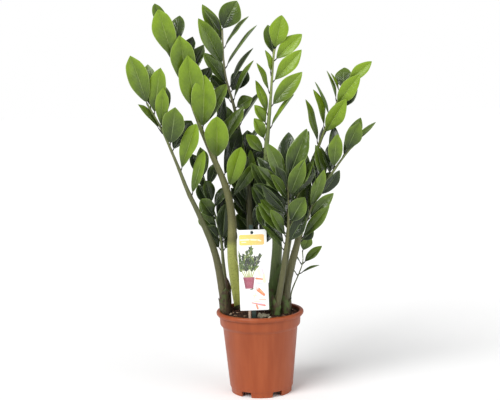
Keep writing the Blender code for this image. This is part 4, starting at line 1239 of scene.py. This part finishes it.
def half_width(share, width, crest=BLADE_CREST, fullness=BLADE_FULLNESS):
    """Half the leaflet's width at a share of its length."""
    return width / 2 * max(math.sin(math.pi * share**crest), 0.0) ** fullness


def pointed_half(share, width, crest, fullness, point):
    """Half the finished leaflet's width: a round outline whose tip ends in a short point."""
    return min(half_width(share, width, crest, fullness), width / 2 * ((1 - share) / point) ** 0.9)


def plain_blade(length, width, grow=0.0, root=0.0):
    """A leaflet as the frame has it: along +Z with its upper face to -Y."""
    stalk = STALK_RADIUS + grow
    thick = LEAFLET_THICKNESS / 2 + grow
    blade = length - STALK_LENGTH
    rings = [(-root, stalk, stalk), (STALK_LENGTH, stalk, stalk)]
    for share in BLADE_STATIONS:
        rings.append((STALK_LENGTH + share * blade, half_width(share, width) + grow, thick))
    rings.append((length + grow, thick / 2, thick / 2))
    matrices = [Matrix.Translation((0, 0, z)) @ Matrix.Diagonal((x, y, 1, 1)) for z, x, y in rings]
    bm = loft(matrices, BLADE_SIDES)
    for vert in bm.verts:
        share = max(vert.co.z, 0) / length
        vert.co.y += BLADE_ARCH * length * share**2 - BLADE_FOLD * abs(vert.co.x)
    return bm


def leaflet_axes(lean, front, roll):
    """The turn that sends +Z along the leaflet and -Y along its upper face."""
    lean, front = math.radians(lean), math.radians(front)
    axis = Vector((math.sin(lean) * math.cos(front), -math.sin(front), math.cos(lean) * math.cos(front)))
    face = Vector((0, -1, 0))
    face = (face - axis * face.dot(axis)).normalized()
    turn = Matrix((axis.cross(face), -face, axis)).transposed().to_4x4()
    return turn @ Matrix.Rotation(math.radians(roll), 4, "Z")


def leaflet_place(frond, line, share, turn):
    """Stands the leaflet's foot on the stem's skin, on the side that the leaflet leaves from."""
    point, direction = along(line, share)
    axis = turn.to_3x3() @ Vector((0, 0, 1))
    aside = axis - direction * axis.dot(direction)
    if share == 1:
        off = FRAME_GAP + STALK_RADIUS * aside.length
        return Matrix.Translation(point + direction * off) @ turn, off + STALK_RADIUS
    side = aside.normalized()
    off = stem_radius(frond, share) + FRAME_GAP + STALK_RADIUS * direction.dot(axis)
    slant = max(axis.dot(side), LEAST_SLANT)
    return Matrix.Translation(point + side * off) @ turn, (FRAME_GAP + STALK_RADIUS * 2) / slant


def turns_to_try():
    """Small turns of a leaflet on its stalk, the smallest first."""
    yield Matrix.Identity(4)
    for size in range(TURN_STEP, TURN_LIMIT + 1, TURN_STEP):
        for tilt, swing, roll in (
            (1, 0, 0), (-1, 0, 0), (0, 1, 0), (0, -1, 0), (1, 1, 0), (-1, 1, 0), (1, -1, 0), (-1, -1, 0),
            (0, 0, 2), (0, 0, -2), (1, 0, 2), (-1, 0, 2), (1, 0, -2), (-1, 0, -2),
        ):
            yield (
                Matrix.Rotation(math.radians(size * tilt), 4, "X")
                @ Matrix.Rotation(math.radians(size * swing), 4, "Y")
                @ Matrix.Rotation(math.radians(size * roll), 4, "Z")
            )


def tree_of(bm, matrix):
    """A search tree of the mesh's faces, once the matrix has moved them."""
    bm.verts.index_update()
    corners = [matrix @ vert.co for vert in bm.verts]
    return BVHTree.FromPolygons(corners, [[vert.index for vert in face.verts] for face in bm.faces])


def tree_of_node(name):
    """The same, of one of the frame's solids."""
    bm = bmesh.new()
    bm.from_mesh(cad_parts[name].data)
    tree = tree_of(bm, Matrix())
    bm.free()
    return tree


def settle(frond, line, row, own_stem, taken):
    """Turns a leaflet as little as it takes to clear its own stem and all that has its place already."""
    share, lean, front, roll, length, width = row
    length /= 1000
    width /= 1000
    reach = length * BLADE_REACH
    blade = plain_blade(length, width, root=-STALK_LENGTH / 4)
    outline = plain_blade(length, width, grow=LEAFLET_CLEARANCE, root=-STALK_LENGTH / 2)
    for turn in turns_to_try():
        place, root = leaflet_place(frond, line, share, leaflet_axes(lean, front, roll) @ turn)
        tree = tree_of(outline, place)
        middle = place @ Vector((0, 0, length / 2))
        near = [other for spot, far, other in taken if (spot - middle).length < far + reach]
        if not tree_of(blade, place).overlap(own_stem) and not any(tree.overlap(other) for other in near):
            break
    blade.free()
    outline.free()
    taken.append((middle, reach, tree))
    return place, root, length, width


def add_sheet(bm, across, along_steps, shape):
    """A sheet with a UV map, each of whose points (u, v), both from 0 to 1, lies at shape(u, v)."""
    verts = bmesh.ops.create_grid(
        bm, x_segments=across, y_segments=along_steps, size=0.5, calc_uvs=True
    )["verts"]
    for vert in verts:
        vert.co = shape(vert.co.x + 0.5, vert.co.y + 0.5)
    return verts


def faces_of(verts):
    """All faces that meet at the corners."""
    return {face for vert in verts for face in vert.link_faces}


def new_leafy_mesh():
    """A mesh with a UV map for the veins, whose faces carry their leaflet's age, with its painted shade."""
    bm = bmesh.new()
    bm.loops.layers.uv.verify()
    bm.faces.layers.float.new("age_and_shade")
    return bm


def stub_point(u, v, root):
    """A point on a leaflet's stub: closed at both ends, and widest where it leaves the stem."""
    radius = 0.0 if v in (0.0, 1.0) else STALK_RADIUS * (1.25 - 0.55 * v)
    angle = 2 * math.pi * u
    height = -root + v * (root + STALK_LENGTH * STUB_OVERLAP)
    return Vector((radius * math.cos(angle), radius * math.sin(angle) + 0.0006, height))


def add_leaflet(bm, place, root, length, width, age_and_shade, outline):
    """A leaflet of two faces that meet at a fine edge, thickest along its midrib, on a tapering stub."""
    blade = length - STALK_LENGTH
    phase = leaf_chance.uniform(0, 2 * math.pi)
    wave = leaf_chance.uniform(0.006, 0.022) * length
    bend = leaf_chance.uniform(-0.03, 0.03) * length
    twist = math.radians(leaf_chance.uniform(-9, 9))
    curl = BLADE_ARCH * leaf_chance.uniform(0.7, 1.9)
    fold = BLADE_FOLD * leaf_chance.uniform(0.9, 2.4)
    crest = outline[0] + leaf_chance.uniform(-0.08, 0.08)
    fullness = outline[1] + leaf_chance.uniform(-0.04, 0.08)
    point = leaf_chance.uniform(0.17, 0.27)

    def surface(u, v, depth):
        side = 2 * u - 1
        half = pointed_half(v, width, crest, fullness, point)
        half *= 1 + 0.03 * math.sin(2 * phase + 11 * v + 1.7 * side)
        rise = fold * half * math.sin(abs(side) * 1.9) / math.sin(1.9)
        rise += wave * math.sin(phase + 7.0 * v) * side**2 * math.sin(math.pi * v)
        share = (STALK_LENGTH + v * blade) / length
        belly = LEAFLET_THICKNESS * 0.8 * (1 - side**2) * math.sin(math.pi * v) ** 0.3
        y = curl * length * share**2 - rise + depth * belly
        x = side * half
        turn = twist * v
        x, y = x * math.cos(turn) - y * math.sin(turn) * 0.3, y + x * math.sin(turn)
        return place @ Vector((x + bend * v * (1 - v) * 2, y, STALK_LENGTH + v * blade))

    upper = add_sheet(bm, BLADE_ACROSS, BLADE_ALONG, lambda u, v: surface(u, v, 0.0))
    lower = add_sheet(bm, BLADE_ACROSS, BLADE_ALONG, lambda u, v: surface(1 - u, v, 1.0))
    for face in faces_of(lower):
        face.material_index = 1
    stub = add_sheet(bm, STUB_AROUND, STUB_UP, lambda u, v: place @ stub_point(u, v, root))
    for face in faces_of(stub):
        face.material_index = 2
    age_and_shade_layer = bm.faces.layers.float["age_and_shade"]
    own_age_and_shade = min(max(age_and_shade + leaf_chance.uniform(-0.17, 0.17), 0.0), 1.0)
    for face in faces_of(upper) | faces_of(lower) | faces_of(stub):
        face[age_and_shade_layer] = own_age_and_shade
    bmesh.ops.remove_doubles(bm, verts=upper + lower, dist=WELD)
    bmesh.ops.remove_doubles(bm, verts=stub, dist=WELD)


def new_group(name, inputs, outputs):
    """A shader node group that takes and gives back numbers, its inputs named with their defaults."""
    group = bpy.data.node_groups.new(name, "ShaderNodeTree")
    for key, default in inputs.items():
        socket = group.interface.new_socket(key, in_out="INPUT", socket_type="NodeSocketFloat")
        socket.default_value = default
    for key in outputs:
        group.interface.new_socket(key, in_out="OUTPUT", socket_type="NodeSocketFloat")
    nodes = Nodes(group)
    return group, nodes, nodes.add("NodeGroupInput").outputs, nodes.add("NodeGroupOutput").inputs


def make_leaf_pattern():
    """How young each part of a leaflet looks, with painted shade at its foot and painted light towards its
    tip and edges, and where its midrib, painted edge highlight and side veins run.
    """
    inputs = {"Rib Share": 0.6, "Least Roughness": 0.3}
    results = ("Youth And Light", "Rib", "Margin", "Vein", "Foot Shade", "Roughness", "Relief")
    group, nodes, given, given_back = new_group("leaf_pattern", inputs, results)
    age_and_shade = nodes.attribute("age_and_shade").outputs["Fac"]
    uv = nodes.add("ShaderNodeSeparateXYZ", None, Vector=nodes.add("ShaderNodeTexCoord").outputs["UV"])
    across = nodes.math("ABSOLUTE", nodes.math("SUBTRACT", uv.outputs[0], 0.5))
    up = uv.outputs[1]
    mottle = nodes.noise(nodes.object_place(), 55.0, detail=3, roughness=0.55)
    youth_and_light = nodes.math("ADD", age_and_shade, nodes.math("MULTIPLY", nodes.math("SUBTRACT", mottle, 0.5), 0.45))
    # Painted shade and light: each leaflet is darker towards its foot and lighter towards its tip and its
    # edges.
    youth_and_light = nodes.math("ADD", youth_and_light, nodes.math("MULTIPLY", nodes.math("SUBTRACT", up, 0.5), 0.50))
    youth_and_light = nodes.math("ADD", youth_and_light, nodes.math("MULTIPLY", nodes.math("SUBTRACT", across, 0.25), 0.30))
    rib = nodes.math("MULTIPLY", nodes.ramp(across, 0.034, 0.010), nodes.ramp(up, 1.0, 0.45))
    forward = nodes.math("SUBTRACT", nodes.math("MULTIPLY", up, 9.5), nodes.math("MULTIPLY", across, 6.5))
    wobble = nodes.math("MULTIPLY", mottle, 0.9)
    phase = nodes.math("MULTIPLY", nodes.math("ADD", forward, wobble), 2 * math.pi)
    vein = nodes.math("SINE", phase)
    pillow = nodes.math("MULTIPLY", nodes.ramp(vein, 1.0, -1.0), nodes.ramp(across, 0.5, 0.2))
    blotch = nodes.noise(nodes.object_place(), 130.0, detail=2, roughness=0.5)
    relief = nodes.math("ADD", nodes.math("MULTIPLY", pillow, 0.08), nodes.math("MULTIPLY", blotch, 0.9))
    relief = nodes.math("SUBTRACT", relief, nodes.math("MULTIPLY", rib, 0.5))
    smooth = given["Least Roughness"]
    for key, value in (
        ("Youth And Light", youth_and_light),
        ("Rib", nodes.math("MULTIPLY", rib, given["Rib Share"])),
        ("Margin", nodes.ramp(across, 0.466, 0.494)),
        ("Vein", nodes.ramp(vein, 0.78, 1.0)),
        ("Foot Shade", nodes.ramp(up, 0.42, 0.0)),
        ("Roughness", nodes.ramp(youth_and_light, 0.2, 0.9, smooth, nodes.math("ADD", smooth, YOUNG_ROUGHER))),
        ("Relief", relief),
    ):
        nodes.tree.links.new(value, given_back[key])
    return group


def make_leaf_materials():
    """The glossy upper face and the duller underside."""
    pattern = make_leaf_pattern()
    materials = []
    for name, old_and_shaded, grown, young_and_lit, rough, rib_share in (
        ("leaf_upper_face", LEAF_OLD_AND_SHADED, LEAF_GROWN, LEAF_YOUNG_AND_LIT, 0.21, 0.55),
        ("leaf_underside", UNDER_OLD_AND_SHADED, UNDER_GROWN, UNDER_YOUNG_AND_LIT, 0.40, 0.65),
    ):
        material, nodes, shader = new_material(name, roughness=rough, Specular_IOR_Level=0.40)
        values = {"Rib_Share": rib_share, "Least_Roughness": rough}
        leaf = nodes.add("ShaderNodeGroup", {"node_tree": pattern}, **values).outputs
        colour = nodes.mix(nodes.ramp(leaf["Youth And Light"], 0.05, 0.5), old_and_shaded, grown)
        colour = nodes.mix(nodes.ramp(leaf["Youth And Light"], 0.4, 1.0), colour, young_and_lit)
        # Painted shade: each leaflet's foot, where the next leaflet overlaps it, is darkened towards the old
        # colour.
        colour = nodes.mix(nodes.math("MULTIPLY", leaf["Foot Shade"], 0.42), colour, old_and_shaded)
        # The pale colour serves the real midrib and veins, and the painted highlight along the edge.
        pale = nodes.mix(nodes.ramp(leaf["Youth And Light"], 0.0, 0.8), OLD_RIB_AND_EDGE_HIGHLIGHT, RIB_PALE)
        colour = nodes.mix(leaf["Rib"], colour, pale)
        colour = nodes.mix(nodes.math("MULTIPLY", leaf["Vein"], 0.07), colour, pale)
        # Painted highlight: a pale band along each leaflet's edge.
        colour = nodes.mix(nodes.math("MULTIPLY", leaf["Margin"], 0.8), colour, pale)
        nodes.tree.links.new(colour, shader.inputs["Base Color"])
        nodes.tree.links.new(leaf["Roughness"], shader.inputs["Roughness"])
        set_bump(nodes, shader, leaf["Relief"], 0.0012)
        materials.append(material)
    return materials


def make_stem_material():
    """Fleshy green skin with darker mottles, coloured along its length by what each stalk carries."""
    material, nodes, shader = new_material("stalk_skin", roughness=0.44, Specular_IOR_Level=0.4)
    skin = nodes.attribute("skin").outputs["Color"]
    blotches = nodes.noise(nodes.object_place((1, 1, 0.6)), 260.0, detail=3, roughness=0.6)
    dark = nodes.math("MULTIPLY", nodes.ramp(blotches, 0.48, 0.70), 0.40)
    streaks = nodes.noise(nodes.object_place((0.12, 0.12, 3.0)), 60.0, detail=2, roughness=0.5)
    pale = nodes.math("MULTIPLY", nodes.ramp(streaks, 0.45, 0.75), 0.075)
    colour = nodes.mix(pale, nodes.mix(dark, skin, MOTTLE_DARK), STREAK_PALE)
    nodes.tree.links.new(colour, shader.inputs["Base Color"])
    set_bump(nodes, shader, nodes.math("ADD", streaks, blotches), 0.00015)
    return material


def add_stem(bm, frond):
    """A tube along the stem's route, swollen a little where leaflets leave it, closed at both ends."""
    line = stem_line(frond, STEM_RINGS - 2)
    up = Vector((0, 0, 1))
    rings = [ring_at(line[0] - up * STEM_IN_SOIL, up, stem_radius(frond, 0) * 0.8)]
    shares = [0.0]
    for index, point in enumerate(line):
        before, after = line[max(index - 1, 0)], line[min(index + 1, len(line) - 1)]
        share = index / (len(line) - 1)
        swelling = sum(math.exp(-(((share - row[0]) / NODE_LENGTH) ** 2)) for row in frond["leaflets"])
        radius = stem_radius(frond, share) * (1 + NODE_SWELLING * min(swelling, 1.0))
        radius *= 1 + 0.03 * noise.noise(Vector((share * 40, frond["radii"][0] * 900, 0)))
        rings.append(ring_at(point, (after - before).normalized(), radius))
        shares.append(share)

    def shape(u, v):
        index = min(int(v * STEM_RINGS + 0.5), STEM_RINGS)
        inner = min(max(index - 1, 0), len(rings) - 1)
        if index in (0, STEM_RINGS):
            return rings[inner].translation
        return rings[inner] @ Vector((math.cos(2 * math.pi * u), math.sin(2 * math.pi * u), 0))

    verts = add_sheet(bm, STEM_SIDES, STEM_RINGS, shape)
    bmesh.ops.remove_doubles(bm, verts=verts, dist=WELD)


def leaflet_age_and_shade(looks, row):
    """Leaflets that lean away from the front are painted darker: painted shade on upper faces that are turned
    away from the light.
    """
    share, _, front, *_ = row
    lowest, highest, _ = looks
    height = min(max((share - 0.4) / 0.6, 0.0), 1.0)
    return lowest + (highest - lowest) * height - 0.7 * max(-front - 4, 0) / 26


def settle_all(lines):
    """Finds every leaflet's place: the outer rows first, then the inner ones, as the frame was made."""
    stems = {}
    for name, frond in FRONDS.items():
        bm = plain_stem(frond, lines[name])
        stems[name] = tree_of(bm, Matrix())
        bm.free()
    label = [tree_of_node(node) for node in ("label_card", "label_stake", "support_stick")]
    rows = [(name, row) for name, frond in FRONDS.items() for row in frond["leaflets"]]
    for own_leaflets in (False, True):
        for name, frond in FRONDS.items():
            if frond["own_leaflets"] == own_leaflets:
                rows += [(name, row) for row in frond.get("inner_leaflets", ())]
    places = {name: [] for name in FRONDS}
    leaflets_taken = []
    for name, row in rows:
        others = label + [tree for other, tree in stems.items() if other != name]
        taken = [(Vector(), 2 * PLANT_HEIGHT, tree) for tree in others] + leaflets_taken
        places[name].append((row, *settle(FRONDS[name], lines[name], row, stems[name], taken)))
        leaflets_taken.append(taken[-1])
    return places


def colour_skin(piece, looks):
    """Gives each corner of a stalk the colour of its height on the stalk."""
    stops = looks[2]
    mesh = piece.data
    colours = mesh.color_attributes.new("skin", "FLOAT_COLOR", "POINT")
    high = max(vert.co.z for vert in mesh.vertices)
    for index, vert in enumerate(mesh.vertices):
        share = min(max((vert.co.z - SOIL_LEVEL) / (high - SOIL_LEVEL), 0.0), 1.0)
        colour = stops[0][1]
        for (low, before), (top, after) in zip(stops, stops[1:]):
            if share >= low:
                colour = Vector(before).lerp(Vector(after), min((share - low) / (top - low), 1.0))
        colours.data[index].color = (*colour, 1.0)


def make_frond_pieces():
    """Every stalk and leaflet, in the places that the frame's solids have."""
    leafy = make_leaf_materials()
    stalk_skin = make_stem_material()
    leafy.append(stalk_skin)
    lines = {name: stem_line(frond) for name, frond in FRONDS.items()}
    places = settle_all(lines)
    for name, frond in FRONDS.items():
        own_pieces = len(frond["leaflets"]) if frond["own_leaflets"] else 0
        outline = LONG_OUTLINE if name in LONG_LEAVED else ROUND_OUTLINE
        joined = new_leafy_mesh()
        for number, (row, *place) in enumerate(places[name], start=1):
            age_and_shade = leaflet_age_and_shade(FROND_LOOKS[name], row)
            if number <= own_pieces:
                bm = new_leafy_mesh()
                add_leaflet(bm, *place, age_and_shade, outline)
                own = f"{name}_leaflet_{number:02d}"
                new_piece(own, bm, leafy, [f"frond_{own}"])
            else:
                is_inner = number > len(frond["leaflets"])
                # Inner leaflets get a lower age: painted shade for the plant's shaded middle.
                add_leaflet(joined, *place, age_and_shade - INNER_SHADE * is_inner, outline)
        if joined.verts:
            new_piece(f"{name}_leaflets", joined, leafy)
        else:
            joined.free()
        stem = bmesh.new()
        stem.loops.layers.uv.verify()
        add_stem(stem, frond)
        node = f"frond_{name}_stem" if frond["own_leaflets"] else f"frond_{name}"
        stalk = new_piece(f"{name}_stalk", stem, [stalk_skin], [node])
        colour_skin(stalk, FROND_LOOKS[name])


def make_sheaths():
    """Tongues of thin skin wrapped round the stalks' feet, each ending in a point that stands off."""
    material, nodes, shader = new_material("stalk_sheath", roughness=0.55, Specular_IOR_Level=0.35)
    dry = nodes.attribute("dry").outputs["Fac"]
    streaks = nodes.noise(nodes.object_place((0.10, 0.10, 1.2)), 45.0, detail=4, roughness=0.65)
    brown = nodes.mix(nodes.ramp(streaks, 0.42, 0.75), SHEATH_BROWN, SHEATH_PALE)
    patches = nodes.noise(nodes.object_place(), 90.0, detail=3, roughness=0.6)
    spread = nodes.math("MULTIPLY", nodes.math("SUBTRACT", patches, 0.5), 2.2)
    share = nodes.ramp(nodes.math("ADD", dry, spread), 0.25, 0.75)
    nodes.tree.links.new(nodes.mix(share, SHEATH_GREEN, brown), shader.inputs["Base Color"])
    set_bump(nodes, shader, nodes.math("ADD", streaks, patches), 0.0004)
    bm = bmesh.new()
    bm.loops.layers.uv.verify()
    dry_layer = bm.faces.layers.float.new("dry")
    for name, facing, height, opening, half, dryness in SHEATHS:
        frond = FRONDS[name]
        line = stem_line(frond)
        foot = stem_radius(frond, 0.0) * (1 + NODE_SWELLING)
        phase = leaf_chance.uniform(0, 2 * math.pi)

        def shape(u, v):
            outer = u < 0.5
            around = 2 * u if outer else 2 - 2 * u
            wide = math.radians(half) * (1 - v**2.2)
            angle = math.radians(facing) + (2 * around - 1) * wide
            point, _ = along(line, v * height / 1000 / ROUTES_TALL)
            lift = opening / 1000 * v**2 + 0.0006 * math.sin(phase + 9 * v + 5 * around)
            radius = foot + 0.0008 + lift
            if outer:
                radius += SHEATH_SKIN * math.sin(math.pi * around) * max(math.sin(math.pi * v), 0.0) ** 0.4
            z = SOIL_LEVEL - SHEATH_IN_SOIL + v * (height / 1000 + SHEATH_IN_SOIL)
            return Vector((point.x + radius * math.cos(angle), point.y + radius * math.sin(angle), z))

        sheath = add_sheet(bm, SHEATH_AROUND, SHEATH_UP, shape)
        for face in faces_of(sheath):
            face[dry_layer] = dryness
        bmesh.ops.remove_doubles(bm, verts=sheath, dist=SEAM_WELD)
    new_piece("stalk_sheaths", bm, [material])


make_frond_pieces()
make_sheaths()
